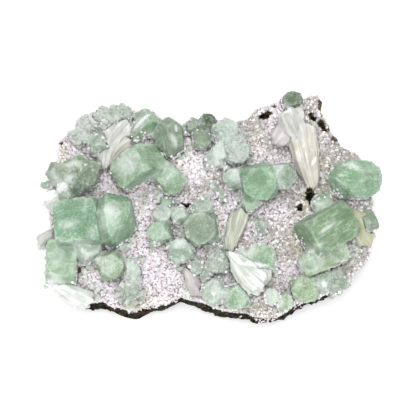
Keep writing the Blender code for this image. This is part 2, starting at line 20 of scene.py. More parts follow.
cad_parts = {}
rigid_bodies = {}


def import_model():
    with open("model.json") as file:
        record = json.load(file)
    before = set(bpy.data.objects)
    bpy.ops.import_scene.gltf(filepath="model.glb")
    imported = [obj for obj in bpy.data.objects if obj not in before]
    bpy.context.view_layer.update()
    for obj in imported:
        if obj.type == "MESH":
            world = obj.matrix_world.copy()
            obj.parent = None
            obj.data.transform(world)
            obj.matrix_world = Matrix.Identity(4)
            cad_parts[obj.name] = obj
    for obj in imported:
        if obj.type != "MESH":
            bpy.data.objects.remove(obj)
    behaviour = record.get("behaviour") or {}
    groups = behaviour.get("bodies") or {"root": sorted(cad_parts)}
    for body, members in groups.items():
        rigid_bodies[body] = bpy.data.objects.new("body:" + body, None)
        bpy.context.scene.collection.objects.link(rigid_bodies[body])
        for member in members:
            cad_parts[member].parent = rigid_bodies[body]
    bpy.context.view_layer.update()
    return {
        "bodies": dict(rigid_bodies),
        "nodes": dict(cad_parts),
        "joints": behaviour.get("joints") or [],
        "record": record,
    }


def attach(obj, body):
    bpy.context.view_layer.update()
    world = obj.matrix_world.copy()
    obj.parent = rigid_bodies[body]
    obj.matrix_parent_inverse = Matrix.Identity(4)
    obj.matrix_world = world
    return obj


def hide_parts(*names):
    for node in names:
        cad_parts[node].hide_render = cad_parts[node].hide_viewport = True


log = logging.getLogger("apophyllite_specimen")

MM = 0.001
BODY = "root"
UP = Vector((0.0, 0.0, 1.0))

# Two heights in metres: one over everything, and about where the crust lies.
OVER_ALL = 0.1
CRUST_HEIGHT = 0.02

# How far the layout's own centre lies from the finished piece's, in millimetres.
PLAN_CENTRE = (0.15, 0.6)

# The angle of the pyramid faces to the basal plane.
PYRAMID_ANGLE = math.radians(60.4)

# How far apart the streaks' coordinates of two neighbouring crystals or sheaves start.
FLOW_APART = 17.0
SHEAVES_APART = 20.0

Value = Union[float, "Wire", bpy.types.NodeSocket, tuple]


def linear(red: float, green: float, blue: float) -> tuple:
    """Turn a colour as a screen shows it, 0 to 255, into the renderer's own scale.

    Args:
        red: How red it is.
        green: How green it is.
        blue: How blue it is.

    Returns:
        The colour as red, green, blue and a full alpha.
    """
    parts = [((part / 255.0 + 0.055) / 1.055) ** 2.4 for part in (red, green, blue)]
    return (*parts, 1.0)


class Tint(Enum):
    """Body colours of the green crystals, then of the crust's grains and of the sheaves."""

    BLUE_GREEN = linear(145, 180, 150)
    SEA_GREEN = linear(152, 184, 153)
    LEAF_GREEN = linear(138, 164, 126)
    LIGHT_GREEN = linear(164, 189, 160)
    YELLOW_GREEN = linear(158, 178, 142)
    MINT = linear(156, 171, 156)
    PALE_MINT = linear(172, 183, 170)
    GREY_GREEN = linear(124, 138, 114)
    DUSKY_GREEN = linear(76, 96, 70)
    LICHEN_GREEN = linear(138, 152, 128)
    BEIGE_GREEN = linear(154, 168, 148)
    ICE = linear(194, 202, 195)
    WHITISH = linear(204, 212, 203)
    FRINGE = linear(214, 221, 213)
    LILAC = linear(228, 220, 227)
    WARM_WHITE = linear(228, 220, 206)
    DUST_GREY = linear(176, 172, 165)
    # The nearly white of the pale crust, which in places is painted light over shaded crust.
    FROST_WHITE = linear(246, 242, 246)
    SNOW = linear(198, 202, 197)
    PEARL = linear(190, 190, 186)
    CREAM = linear(184, 187, 172)
    GREY_LILAC = linear(182, 176, 177)
    BUFF = linear(176, 178, 150)
    IVORY = linear(197, 195, 184)


@dataclass(frozen=True)
class Crystal:
    """One green crystal: where it stands, how it is turned, and how its body looks.

    x, y and rise place its middle, rise being its height over the crust. lean tips its long axis
    from upright towards bearing, and spin turns its prism. cut is the depth of the corner faces
    as a share of the side, and broad the prism's other width as a share of the side. milk and
    frost say from 0 to 1 how cloudy and how grainy it is.
    """

    x: float
    y: float
    rise: float
    side: float
    length: float
    lean: float
    bearing: float
    spin: float
    cut: float
    tint: Tint
    milk: float = 0.5
    frost: float = 0.1
    broad: float = 1.0


@dataclass(frozen=True)
class Sheaf:
    """One pearly sheaf of blades that spread from a narrow start to a wide, ragged end.

    Both ends are x, y and rise over the crust. waist is its width at the start, spread its width
    at the end, and thick its thickness. bow bends the middle sideways.
    """

    start: tuple
    end: tuple
    waist: float
    spread: float
    thick: float
    bow: float = 0.0
    tint: Tint = Tint.PEARL


@dataclass(frozen=True)
class Spine:
    """Where a sheaf runs: its two ends, and its directions ahead, sideways and upwards."""

    start: Vector
    end: Vector
    ahead: Vector
    sideways: Vector
    upward: Vector

    @property
    def length(self) -> float:
        """The distance between its ends in millimetres."""
        return (self.end - self.start).length / MM


# ---------------------------------------------------------------------------------------------
# Shader arithmetic


class Wire:
    """A number that varies over a surface; arithmetic on it adds Math nodes."""

    def __init__(self, graph: "Graph", socket: bpy.types.NodeSocket) -> None:
        """Keep the socket and the graph that it belongs to."""
        self.graph = graph
        self.socket = socket

    def _maths(self, operation: str, first: Value, second: Value) -> "Wire":
        """Add one Math node and give its result."""
        node = self.graph.node("ShaderNodeMath", {"operation": operation}, {0: first, 1: second})
        return Wire(self.graph, node.outputs[0])

    def __add__(self, other: Value) -> "Wire":
        """Add a number or a wire."""
        return self._maths("ADD", self, other)

    __radd__ = __add__

    def __sub__(self, other: Value) -> "Wire":
        """Take a number or a wire away."""
        return self._maths("SUBTRACT", self, other)

    def __rsub__(self, other: Value) -> "Wire":
        """Take this wire away from a number."""
        return self._maths("SUBTRACT", other, self)

    def __mul__(self, other: Value) -> "Wire":
        """Multiply by a number or a wire."""
        return self._maths("MULTIPLY", self, other)

    __rmul__ = __mul__

    def rise(self, low: float, high: float) -> "Wire":
        """Rise smoothly from 0 where this is low to 1 where it is high.

        Args:
            low: The value that gives 0.
            high: The value that gives 1; it may be the lower of the two.

        Returns:
            The share from 0 to 1.
        """
        settings = {"interpolation_type": "SMOOTHSTEP"}
        flip = low > high
        values = {0: self, 1: high if flip else low, 2: low if flip else high}
        values.update({3: 1.0, 4: 0.0} if flip else {3: 0.0, 4: 1.0})
        return Wire(self.graph, self.graph.node("ShaderNodeMapRange", settings, values).outputs[0])

    def held(self) -> "Wire":
        """Hold this between 0 and 1."""
        settings = {"operation": "ADD", "use_clamp": True}
        return Wire(self.graph, self.graph.node("ShaderNodeMath", settings, {0: self, 1: 0.0}).outputs[0])


class Graph:
    """A new material and the nodes that are added to it."""

    def __init__(self, name: str) -> None:
        """Start an empty material.

        Args:
            name: The material's name.
        """
        self.material = bpy.data.materials.new(name)
        self.material.use_nodes = True
        self.tree = self.material.node_tree
        self.tree.nodes.clear()
        self.output = self.node("ShaderNodeOutputMaterial")
        place = self.node("ShaderNodeTexCoord").outputs["Object"]
        self.place = self.scaled(place, (1.0 / MM,) * 3)

    def node(self, kind: str, settings: dict | None = None, values: dict | None = None) -> bpy.types.Node:
        """Add any node.

        Args:
            kind: The node's type.
            settings: Its own settings, which are set first.
            values: Numbers, colours, wires or sockets by input name or index.

        Returns:
            The new node.
        """
        made = self.tree.nodes.new(kind)
        for name, setting in (settings or {}).items():
            setattr(made, name, setting)
        for key, value in (values or {}).items():
            if isinstance(value, Wire):
                value = value.socket
            if isinstance(value, bpy.types.NodeSocket):
                self.tree.links.new(value, made.inputs[key])
            else:
                made.inputs[key].default_value = value
        return made

    def scaled(self, vector: bpy.types.NodeSocket, factors: tuple) -> bpy.types.NodeSocket:
        """Multiply a vector by one factor an axis."""
        node = self.node("ShaderNodeVectorMath", {"operation": "MULTIPLY"}, {0: vector, 1: factors})
        return node.outputs[0]

    def attribute(self, name: str) -> bpy.types.Node:
        """Read one of the piece's own attributes."""
        return self.node("ShaderNodeAttribute", {"attribute_type": "GEOMETRY", "attribute_name": name})

    def share(self, name: str) -> Wire:
        """Read a number that the piece carries."""
        return Wire(self, self.attribute(name).outputs["Fac"])

    def clouds(self, scale: float, detail: float = 3.0, where: bpy.types.NodeSocket | None = None,
               distortion: float = 0.0, rough: float = 0.5) -> Wire:
        """Give soft noise from 0 to 1.

        Args:
            scale: Lumps a millimetre.
            detail: How many finer layers it has.
            where: The coordinates in millimetres; the piece's place if left out.
            distortion: How much the lumps are stirred.
            rough: How strong the finer layers are.

        Returns:
            The noise.
        """
        values = {"Vector": where or self.place, "Scale": scale, "Detail": detail,
                  "Distortion": distortion, "Roughness": rough}
        return Wire(self, self.node("ShaderNodeTexNoise", {}, values).outputs[0])

    def cells(self, scale: float, feature: str = "F1", where: bpy.types.NodeSocket | None = None) -> Wire:
        """Give the distance to the nearest of many scattered points, or to the edge between two."""
        values = {"Vector": where or self.place, "Scale": scale}
        made = self.node("ShaderNodeTexVoronoi", {"feature": feature}, values)
        return Wire(self, made.outputs["Distance"])

    def mosaic(self, scale: float, where: bpy.types.NodeSocket | None = None) -> Wire:
        """Give each of many scattered cells its own number from 0 to 1."""
        made = self.node("ShaderNodeTexVoronoi", {}, {"Vector": where or self.place, "Scale": scale})
        return Wire(self, made.outputs["Color"])

    def blend(self, share: Value, first: Value, second: Value, how: str = "MIX") -> bpy.types.NodeSocket:
        """Mix two colours.

        Args:
            share: How much of the second there is.
            first: The colour at 0.
            second: The colour at 1.
            how: The way of mixing.

        Returns:
            The mixed colour.
        """
        settings = {"data_type": "RGBA", "blend_type": how, "clamp_factor": True}
        return self.node("ShaderNodeMix", settings, {0: share, 6: first, 7: second}).outputs[2]

    def relief(self, height: Value, depth: float, strength: float = 1.0) -> bpy.types.NodeSocket:
        """Turn a height from 0 to 1 into a bumped normal, depth millimetres deep."""
        values = {"Height": height, "Distance": depth * MM, "Strength": strength}
        return self.node("ShaderNodeBump", {}, values).outputs[0]

    def surface(self, colour: Value, roughness: Value, normal: bpy.types.NodeSocket | None = None,
                **constants: Any) -> bpy.types.NodeSocket:
        """Add a Principled shader.

        Args:
            colour: Its base colour.
            roughness: Its roughness.
            normal: Its normal, if it is bumped.
            **constants: Other inputs by name, with _ for a space.

        Returns:
            The shader's output.
        """
        values = {"Base Color": colour, "Roughness": roughness}
        values.update({name.replace("_", " "): value for name, value in constants.items()})
        if normal is not None:
            values["Normal"] = normal
        return self.node("ShaderNodeBsdfPrincipled", {}, values).outputs[0]

    def finish(self, shader: bpy.types.NodeSocket,
               volume: bpy.types.NodeSocket | None = None) -> bpy.types.Material:
        """Connect the shader, and a volume if there is one, and give the material."""
        self.tree.links.new(shader, self.output.inputs["Surface"])
        if volume is not None:
            self.tree.links.new(volume, self.output.inputs["Volume"])
        return self.material


@dataclass(frozen=True)
class CrystalFinish:
    """Glassy to milky green crystal, with striations, veils, healed cracks and frosting.

    clearest is the share of clear glass where there is no veil. absorbed and density are those of
    its volume, and glow and glow_depth, in millimetres, those of its milky parts. The colours
    are all laid over the crystal's own tint; deepening multiplies it. Some of it is painted
    light: each facet is darkened towards the deep tint by its own random amount as painted
    facet shading, the seam colour lightens the creases between crystals as painted light, and
    the last colour is a painted glint.
    """

    name: str
    clearest: float = 0.4
    refraction: float = 1.535
    absorbed: tuple = (0.64, 0.80, 0.68, 1.0)
    density: float = 20.0
    glow: float = 0.6
    glow_depth: float = 3.0
    deepening: tuple = (0.56, 0.78, 0.60, 1.0)
    clouded: tuple = (0.66, 0.72, 0.67, 1.0)
    wispy: tuple = (0.80, 0.89, 0.81, 1.0)
    streaked: tuple = (0.78, 0.84, 0.78, 1.0)
    grainy: tuple = (0.76, 0.82, 0.77, 1.0)
    cracked: tuple = (0.80, 0.88, 0.81, 1.0)
    painted_seam_light: tuple = (0.74, 0.82, 0.75, 1.0)
    worn: tuple = (0.74, 0.84, 0.75, 1.0)
    etching: tuple = (0.82, 0.87, 0.83, 1.0)
    pitted: tuple = (0.22, 0.30, 0.23, 1.0)
    painted_glint: tuple = (0.86, 0.89, 0.87, 1.0)

    def make(self) -> bpy.types.Material:
        """Build the material."""
        graph = Graph(self.name)
        tint = graph.attribute("tint").outputs["Color"]
        milk, frost = graph.share("milk"), graph.share("frost")
        edge, pearl, shade = graph.share("edge"), graph.share("pearl"), graph.share("shade")
        seam = graph.share("seam")
        white, green, glint = graph.share("white"), graph.share("deep"), graph.share("glint")
        flow = graph.attribute("flow").outputs["Vector"]

        cloud = graph.clouds(0.13, 4.0, distortion=0.5)
        patches = graph.clouds(0.42, 4.0, flow, distortion=0.3, rough=0.6)
        wisps = graph.clouds(1.1, 4.0, graph.scaled(flow, (1.0, 1.0, 0.14)), rough=0.65)
        cross = graph.clouds(0.9, 3.0, graph.scaled(flow, (0.2, 1.0, 1.0)), rough=0.6)
        fine = graph.clouds(1.7, 4.0, rough=0.75)
        seams = graph.cells(0.10, "DISTANCE_TO_EDGE", graph.scaled(flow, (1.0, 1.3, 0.7)))
        crack = seams.rise(0.03, 0.0) * cloud.rise(0.45, 0.6)
        facets = graph.mosaic(0.75, graph.scaled(flow, (1.0, 1.0, 0.5)))
        rough = (milk * 0.45 + frost * 0.55 - 0.15).held()
        etched = fine.rise(0.55, 0.66) * (frost * 0.9 + edge * 1.2 + 0.25).held()
        veil = (cloud + (milk - 0.5) * 0.7 + (wisps - 0.5) * 0.3 + (patches - 0.5) * 0.5
                + (white - green) * 0.3).rise(0.22, 0.80)

        deep = graph.blend(0.55, tint, self.deepening, "MULTIPLY")
        body = graph.blend(veil, deep, tint)
        # Painted facet shading: shade darkens each facet by its own random amount; green is the deep
        # patches' own colour.
        body = graph.blend((shade * 0.25 + green * 0.9).held(), body, deep)
        cloudy = (veil.rise(0.55, 1.0) * (0.1 + milk * 0.25) + white * 0.75).held()
        body = graph.blend(cloudy, body, self.clouded)
        body = graph.blend(wisps.rise(0.52, 0.66) * 0.35, body, self.wispy)
        body = graph.blend(cross.rise(0.58, 0.7) * 0.12, body, self.streaked)
        pits = graph.clouds(0.8, 4.0, distortion=1.2, rough=0.65).rise(0.47, 0.36) * (0.08 + milk * 0.2)
        body = graph.blend(pits, body, deep)
        body = graph.blend(facets.rise(0.55, 0.8) * rough * 0.4, body, self.grainy)
        body = graph.blend(facets.rise(0.45, 0.2) * rough * 0.45, body, deep)
        body = graph.blend(crack * 0.3, body, self.cracked)
        # Painted light: the seams where crystals meet are lightened, lifting the shade that falls in
        # their creases.
        body = graph.blend(seam * 0.45, body, self.painted_seam_light)
        body = graph.blend((edge * (0.1 + milk * 0.35)).held(), body, self.worn)
        body = graph.blend(etched * 0.7, body, self.etching)
        holes = fine.rise(0.46, 0.30) * (frost * 0.4 + edge * 0.35 + 0.05).held()
        body = graph.blend(holes, body, self.pitted)
        # Painted glints: bright reflections painted into the colour where the glint patches lie.
        body = graph.blend(glint, body, self.painted_glint)

        ridges = graph.clouds(1.4, 2.0, graph.scaled(flow, (1.0, 1.0, 0.07)))
        height = ridges * 0.4 * (1.0 - pearl) + fine * (0.6 + frost * 1.1)
        height = height + patches * 0.9 + facets * rough * 0.8
        normal = graph.relief(height, 0.5, 0.9)
        gloss = (0.14 + frost * 0.3 + fine * 0.15).held()
        clear = graph.surface(body, gloss, normal, IOR=self.refraction, Transmission_Weight=1.0)
        milky = graph.surface(body, gloss + 0.1, normal, IOR=self.refraction,
                              Subsurface_Weight=self.glow, Subsurface_Radius=(1.0, 1.3, 1.05),
                              Subsurface_Scale=self.glow_depth * MM)
        share = (1.0 - (1.0 - veil * 0.7) * self.clearest + frost * 0.3).held()
        mixed = graph.node("ShaderNodeMixShader", {}, {0: share, 1: clear, 2: milky})
        volume = graph.node("ShaderNodeVolumeAbsorption", {},
                            {"Color": self.absorbed, "Density": self.density})
        return graph.finish(mixed.outputs[0], volume.outputs[0])


@dataclass(frozen=True)
class PearlFinish:
    """Pearly white to cream blades, translucent and finely streaked along their length, with painted
    glints where the glint patches lie.
    """

    name: str
    glow: float = 0.6
    glow_depth: float = 2.0
    white: tuple = (0.86, 0.88, 0.86, 1.0)
    shade: tuple = (0.66, 0.66, 0.62, 1.0)

    def make(self) -> bpy.types.Material:
        """Build the material."""
        graph = Graph(self.name)
        flow = graph.attribute("flow").outputs["Vector"]
        fibres = graph.clouds(1.5, 3.0, graph.scaled(flow, (0.10, 1.0, 0.6)), rough=0.6)
        bands = graph.clouds(0.5, 3.0, graph.scaled(flow, (0.25, 1.0, 0.6)), distortion=0.4)
        broad = graph.clouds(0.16, 3.0)
        colour = graph.attribute("tint").outputs["Color"]
        dark = broad.rise(0.5, 0.35) * 0.25 + bands.rise(0.5, 0.3) * 0.2 + graph.share("deep") * 0.8
        light = broad.rise(0.45, 0.7) * 0.2 + graph.share("white") * fibres.rise(0.40, 0.56) * 0.8
        # Pale fibres, and painted glints: bright reflections painted into the colour in the glint
        # patches.
        pale_fibres_and_painted_glint = fibres.rise(0.54, 0.70) * 0.35 + graph.share("glint") * bands.rise(0.35, 0.5)
        colour = graph.blend(dark.held(), colour, self.shade, "MULTIPLY")
        colour = graph.blend(fibres.rise(0.50, 0.34) * 0.4, colour, self.shade, "MULTIPLY")
        colour = graph.blend(light.held(), colour, self.white)
        colour = graph.blend(pale_fibres_and_painted_glint.held(), colour, self.white)
        normal = graph.relief(fibres + bands + graph.clouds(2.5, 2.0) * 0.2, 0.15, 0.5)
        shader = graph.surface(colour, 0.18 + fibres * 0.3, normal, IOR=1.5,
                               Coat_Weight=0.3, Coat_Roughness=0.12,
                               Subsurface_Weight=self.glow, Subsurface_Radius=(1.0, 1.0, 0.95),
                               Subsurface_Scale=self.glow_depth * MM)
        return graph.finish(shader)


@dataclass(frozen=True)
class SkinFinish:
    """The crust between its grains: grey lilac gaps, lighter on its small lumps' tops and darker in the
    hollows between them as painted shade, and brown rock where it is bare.
    """

    name: str
    gap: tuple = linear(140, 133, 131)
    top: tuple = linear(224, 218, 221)
    umber: tuple = linear(50, 46, 34)
    ochre: tuple = linear(110, 94, 66)

    def make(self) -> bpy.types.Material:
        """Build the material."""
        graph = Graph(self.name)
        lumps = graph.cells(0.8)
        # Painted shade: the gap colour darkens the hollows between the lumps, and the top colour lightens
        # their tops.
        colour = graph.blend(lumps.rise(0.2, 0.7), self.top, self.gap)
        fine = graph.clouds(1.3, 4.0, rough=0.7)
        brown = graph.blend(fine.rise(0.36, 0.6), self.umber, self.ochre)
        bare = graph.share("bare")
        shader = graph.surface(graph.blend(bare, colour, brown), 0.5 + bare * 0.3,
                               graph.relief(1.0 - lumps, 0.3, 0.8), Specular_IOR_Level=0.5)
        return graph.finish(shader)


@dataclass(frozen=True)
class GrainFinish:
    """Small sparkling grains, each with the tint that it carries."""

    name: str
    see_through: float = 0.0
    gloss: float = 0.3
    contrast: float = 1.0
    dull: tuple = (0.60, 0.58, 0.59, 1.0)
    bright: tuple = (0.94, 0.94, 0.94, 1.0)

    def make(self) -> bpy.types.Material:
        """Build the material."""
        graph = Graph(self.name)
        tint, tone = graph.attribute("tint").outputs["Color"], graph.share("tone")
        dark, light = tone.rise(0.45, 0.0) * 0.5, tone.rise(0.65, 0.9) * 0.9
        colour = graph.blend(dark * self.contrast, tint, self.dull, "MULTIPLY")
        colour = graph.blend(light * self.contrast, colour, self.bright)
        normal = graph.relief(graph.clouds(2.5, 3.0), 0.2, 0.7)
        shader = graph.surface(colour, self.gloss + tone.rise(0.6, 0.2) * 0.25, normal,
                               Specular_IOR_Level=0.6, Transmission_Weight=self.see_through)
        return graph.finish(shader)


@dataclass(frozen=True)
class RockFinish:
    """Dark basalt with blue-green and rusty stains and pale brown specks."""

    name: str
    black: tuple = linear(9, 13, 10)
    grey: tuple = linear(30, 30, 22)
    stain: tuple = linear(18, 50, 42)
    rust: tuple = linear(84, 62, 34)
    speck: tuple = linear(150, 138, 112)

    def make(self) -> bpy.types.Material:
        """Build the material."""
        graph = Graph(self.name)
        coarse = graph.clouds(0.25, 4.0, distortion=0.6)
        fine = graph.clouds(1.4, 5.0, rough=0.7)
        colour = graph.blend(coarse.rise(0.4, 0.62), self.black, self.grey)
        colour = graph.blend(graph.clouds(0.3, 3.0).rise(0.5, 0.62) * 0.8, colour, self.stain)
        rusty = graph.clouds(0.5, 3.0, distortion=1.0).rise(0.5, 0.62)
        colour = graph.blend(rusty * 0.7, colour, self.rust)
        colour = graph.blend(fine.rise(0.57, 0.67) * 0.65, colour, self.speck)
        normal = graph.relief(fine + coarse, 0.8, 0.9)
        return graph.finish(graph.surface(colour, 0.8, normal, Specular_IOR_Level=0.2))


@dataclass(frozen=True)
class FloorFinish:
    """Plain pale surface; its own faint light, the lift, keeps the shadows on it faint."""

    name: str
    colour: tuple = (0.97, 0.97, 0.97, 1.0)
    lift: float = 0.16

    def make(self) -> bpy.types.Material:
        """Build the material."""
        graph = Graph(self.name)
        shader = graph.surface(self.colour, 0.9, Emission_Color=self.colour,
                               Emission_Strength=self.lift)
        return graph.finish(shader)


# ---------------------------------------------------------------------------------------------
# Mesh work that every piece shares


# How near two corners of a solid's triangles are that are joined, in millimetres.
WELD = 0.002


def merged_copy(node: bpy.types.Object) -> bmesh.types.BMesh:
    """Copy a solid's loose triangles and join them.

    Args:
        node: The solid.

    Returns:
        A closed bmesh with its faces outwards.
    """
    bm = bmesh.new()
    bm.from_mesh(node.data)
    bmesh.ops.remove_doubles(bm, verts=bm.verts, dist=WELD * MM)
    for layer in list(bm.loops.layers.uv):
        bm.loops.layers.uv.remove(layer)
    bmesh.ops.recalc_face_normals(bm, faces=bm.faces)
    return bm


def refine(bm: bmesh.types.BMesh, longest: float, rounds: int = 6,
           faces_wanted: Callable[[bmesh.types.BMFace], bool] | None = None) -> None:
    """Cut every long edge in halves until none is longer than asked.

    Args:
        bm: The mesh.
        longest: The longest edge that may stay, in millimetres.
        rounds: How often the edges are halved at most.
        faces_wanted: A test that picks the faces to cut finely, or nothing for all.
    """
    bmesh.ops.triangulate(bm, faces=bm.faces)
    for _ in range(rounds):
        long_edges = [
            edge for edge in bm.edges
            if edge.calc_length() > longest * MM
            and (faces_wanted is None or any(faces_wanted(face) for face in edge.link_faces))
        ]
        if not long_edges:
            break
        bmesh.ops.subdivide_edges(bm, edges=long_edges, cuts=1)
        bmesh.ops.triangulate(bm, faces=[face for face in bm.faces if len(face.verts) > 3])
        drop_flaps(bm)


def drop_flaps(bm: bmesh.types.BMesh) -> None:
    """Delete faces that lie back to back on the same corners."""
    by_corners = {}
    for face in bm.faces:
        by_corners.setdefault(frozenset(face.verts), []).append(face)
    flaps = [face for faces in by_corners.values() if len(faces) > 1 for face in faces]
    bmesh.ops.delete(bm, geom=flaps, context="FACES")


def relax(bm: bmesh.types.BMesh, verts: Iterable, rounds: int) -> None:
    """Draw some points half way towards their neighbours, several times."""
    for _ in range(rounds):
        bmesh.ops.smooth_vert(bm, verts=verts, factor=0.5,
                              use_axis_x=True, use_axis_y=True, use_axis_z=True)


def new_mesh(name: str, bm: bmesh.types.BMesh) -> bpy.types.Mesh:
    """Turn a bmesh, which is freed, into a mesh."""
    mesh = bpy.data.meshes.new(name)
    bm.to_mesh(mesh)
    bm.free()
    return mesh


def new_object(name: str, data: bpy.types.ID) -> bpy.types.Object:
    """Put a mesh, a camera or a lamp into the scene."""
    made = bpy.data.objects.new(name, data)
    bpy.context.scene.collection.objects.link(made)
    return made


def make_piece(name: str, bm: bmesh.types.BMesh, material: bpy.types.Material,
               nodes: Iterable[str]) -> bpy.types.Object:
    """Turn a bmesh into a finished piece that stands for one or more solids.

    Args:
        name: The piece's name.
        bm: Its mesh, which is freed.
        material: Its material.
        nodes: The solids that it stands for.

    Returns:
        The new object.
    """
    mesh = new_mesh(name, bm)
    mesh.materials.append(material)
    piece = new_object(name, mesh)
    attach(piece, BODY)
    if nodes:
        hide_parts(*nodes)
    log.info("%s: %d faces", name, len(mesh.polygons))
    return piece


class Bed:
    """The crust's top, which everything grows on, and what stands on it."""

    def __init__(self, crust: bpy.types.Object, standing: Iterable[bpy.types.Object]) -> None:
        """Keep search trees of the crust and of what stands on it."""
        bm = merged_copy(crust)
        self.crust = BVHTree.FromBMesh(bm)
        bm.free()
        bm = bmesh.new()
        for node in standing:
            bm.from_mesh(node.data)
        self.standing = BVHTree.FromBMesh(bm)
        bm.free()

    def foot(self, x: float, y: float) -> tuple:
        """Find the crust's top under a point of the plan.

        Args:
            x: The point's place along the slab, in millimetres.
            y: The point's place across it.

        Returns:
            The place on the crust and the crust's normal there.
        """
        place, normal, _, _ = self.crust.ray_cast(Vector((x * MM, y * MM, OVER_ALL)), -UP)
        if place is None:
            beside = Vector((x * MM, y * MM, CRUST_HEIGHT))
            place, normal, _, _ = self.crust.find_nearest(beside)
        return place, normal

    def covered(self, place: Vector) -> bool:
        """Tell whether something stands over a place."""
        return self.standing.ray_cast(place + UP * 0.1 * MM, UP)[0] is not None


class Mark(Enum):
    """What a patch does to a surface; the value is how wide its fading rim is, in half widths."""

    BARE = 0.25
    WHITE = 0.9
    DEEP = 0.8
    # Painted glints: bright reflections painted into the colour.
    GLINT = 0.3
    # Grains painted nearly white: pale crust, and in places painted light over crust in the crystals'
    # shade.
    PALE_BED = 1.0


# Where a patch ends, as a share of its half widths.
PATCH_RIM = 1.15


@dataclass(frozen=True)
class Patch:
    """An oval part of the plan that looks different: centre, half widths and turn."""

    mark: Mark
    x: float
    y: float
    half_length: float
    half_width: float
    turn: float = 0.0
    strength: float = 1.0

    def share(self, x: float, y: float) -> float:
        """Tell how strong the mark is at a point.

        Args:
            x: The point's place along the slab, in millimetres.
            y: The point's place across it.

        Returns:
            The strength inside, 0 outside, and between the two near the ragged edge.
        """
        off_x, off_y = x - self.x, y - self.y
        if abs(off_x) + abs(off_y) > 3.0 * self.half_length:
            return 0.0
        turn = math.radians(self.turn)
        along = (off_x * math.cos(turn) + off_y * math.sin(turn)) / self.half_length
        over = (off_y * math.cos(turn) - off_x * math.sin(turn)) / self.half_width
        ragged = 0.35 * noise.noise(Vector((x * 0.7, y * 0.7, self.x)))
        ragged += 0.3 * noise.noise(Vector((x, y, self.y)) * 0.3)
        inside = (PATCH_RIM + ragged - math.hypot(along, over)) / self.mark.value
        return self.strength * min(1.0, max(0.0, inside))


def strongest(patches: Iterable[Patch], x: float, y: float) -> float:
    """Tell how strong the strongest of some patches is at a point of the plan."""
    return max((patch.share(x, y) for patch in patches), default=0.0)


@dataclass(frozen=True)
class Chart:
    """All the patches of the specimen."""

    patches: tuple

    def near(self, mark: Mark, points: Iterable) -> list:
        """Pick one mark's patches that may touch any of some points."""
        spots = [(point.x / MM, point.y / MM) for point in points]
        left, right = min(spot[0] for spot in spots), max(spot[0] for spot in spots)
        front, back = min(spot[1] for spot in spots), max(spot[1] for spot in spots)
        return [
            patch for patch in self.patches
            if patch.mark is mark
            and left - patch.half_length < patch.x < right + patch.half_length
            and front - patch.half_length < patch.y < back + patch.half_length
        ]

    def write(self, bm: bmesh.types.BMesh) -> None:
        """Write the cloudy, the deep and the painted-glint patches onto a mesh's points."""
        for mark in (Mark.WHITE, Mark.DEEP, Mark.GLINT):
            layer = bm.verts.layers.float.new(mark.name.lower())
            patches = self.near(mark, [vert.co for vert in bm.verts])
            for vert in bm.verts:
                vert[layer] = strongest(patches, vert.co.x / MM, vert.co.y / MM)

    def bareness(self, x: float, y: float) -> float:
        """Tell how bare a point of the plan is, from 0 to 1."""
        return max(patch.share(x, y) for patch in self.patches if patch.mark is Mark.BARE)


class Growth:
    """Many small lumps or crystals that become one joined piece."""

    def __init__(self, name: str, seed: int) -> None:
        """Start with none.

        Args:
            name: The piece's name.
            seed: Where its chances start.
        """
        self.name = name
        self.dice = random.Random(seed)
        self.bm = bmesh.new()
        layers = self.bm.verts.layers
        self.turn = layers.float_vector.new("turn")
        self.size = layers.float_vector.new("size")
        self.tone = layers.float.new("tone")
        self.tint = layers.float_color.new("tint")

    def add(self, place: Vector, normal: Vector, across: float, tint: tuple, out: float = 0.1) -> None:
        """Add one lump.

        Args:
            place: The point of the surface that it grows on.
            normal: The surface's normal.
            across: Its size in millimetres.
            tint: Its colour.
            out: How far its tip stands out of the surface, in millimetres.
        """
        dice = self.dice
        vert = self.bm.verts.new(place - normal * (0.5 * across - out) * MM)
        vert[self.turn] = [dice.uniform(0.0, math.tau) for _ in range(3)]
        vert[self.size] = [across * MM * dice.uniform(0.8, 1.2) for _ in range(3)]
        vert[self.tone] = dice.random()
        vert[self.tint] = tint

    def scatter(self, shape: bpy.types.Mesh) -> bpy.types.Mesh:
        """Put the shape on every place with Geometry Nodes and give the joined mesh."""
        places = new_object("places", new_mesh("places", self.bm))
        lump = new_object("lump", shape)
        tree = bpy.data.node_groups.new("scatter", "GeometryNodeTree")
        tree.interface.new_socket("Geometry", in_out="INPUT", socket_type="NodeSocketGeometry")
        tree.interface.new_socket("Geometry", in_out="OUTPUT", socket_type="NodeSocketGeometry")
        nodes, links = tree.nodes, tree.links
        begin, end = nodes.new("NodeGroupInput"), nodes.new("NodeGroupOutput")
        source = nodes.new("GeometryNodeObjectInfo")
        source.inputs["Object"].default_value = lump
        put = nodes.new("GeometryNodeInstanceOnPoints")
        for name, socket in (("turn", "Rotation"), ("size", "Scale")):
            read = nodes.new("GeometryNodeInputNamedAttribute")
            read.data_type = "FLOAT_VECTOR"
            read.inputs["Name"].default_value = name
            links.new(read.outputs["Attribute"], put.inputs[socket])
        joined = nodes.new("GeometryNodeRealizeInstances")
        links.new(begin.outputs[0], put.inputs["Points"])
        links.new(source.outputs["Geometry"], put.inputs["Instance"])
        links.new(put.outputs["Instances"], joined.inputs[0])
        links.new(joined.outputs[0], end.inputs[0])
        places.modifiers.new("scatter", "NODES").node_group = tree
        bpy.context.view_layer.update()
        graph = bpy.context.evaluated_depsgraph_get()
        made = bpy.data.meshes.new_from_object(places.evaluated_get(graph))
        for helper in (places, lump):
            bpy.data.objects.remove(helper)
        return made

    def build(self, shape: bpy.types.Mesh, material: bpy.types.Material, slot: str) -> None:
        """Make the piece.

        Args:
            shape: One lump, one unit across.
            material: Its finish.
            slot: The record's material slot; not used.
        """
        bm = bmesh.new()
        bm.from_mesh(self.scatter(shape))
        make_piece(self.name, bm, material, [])


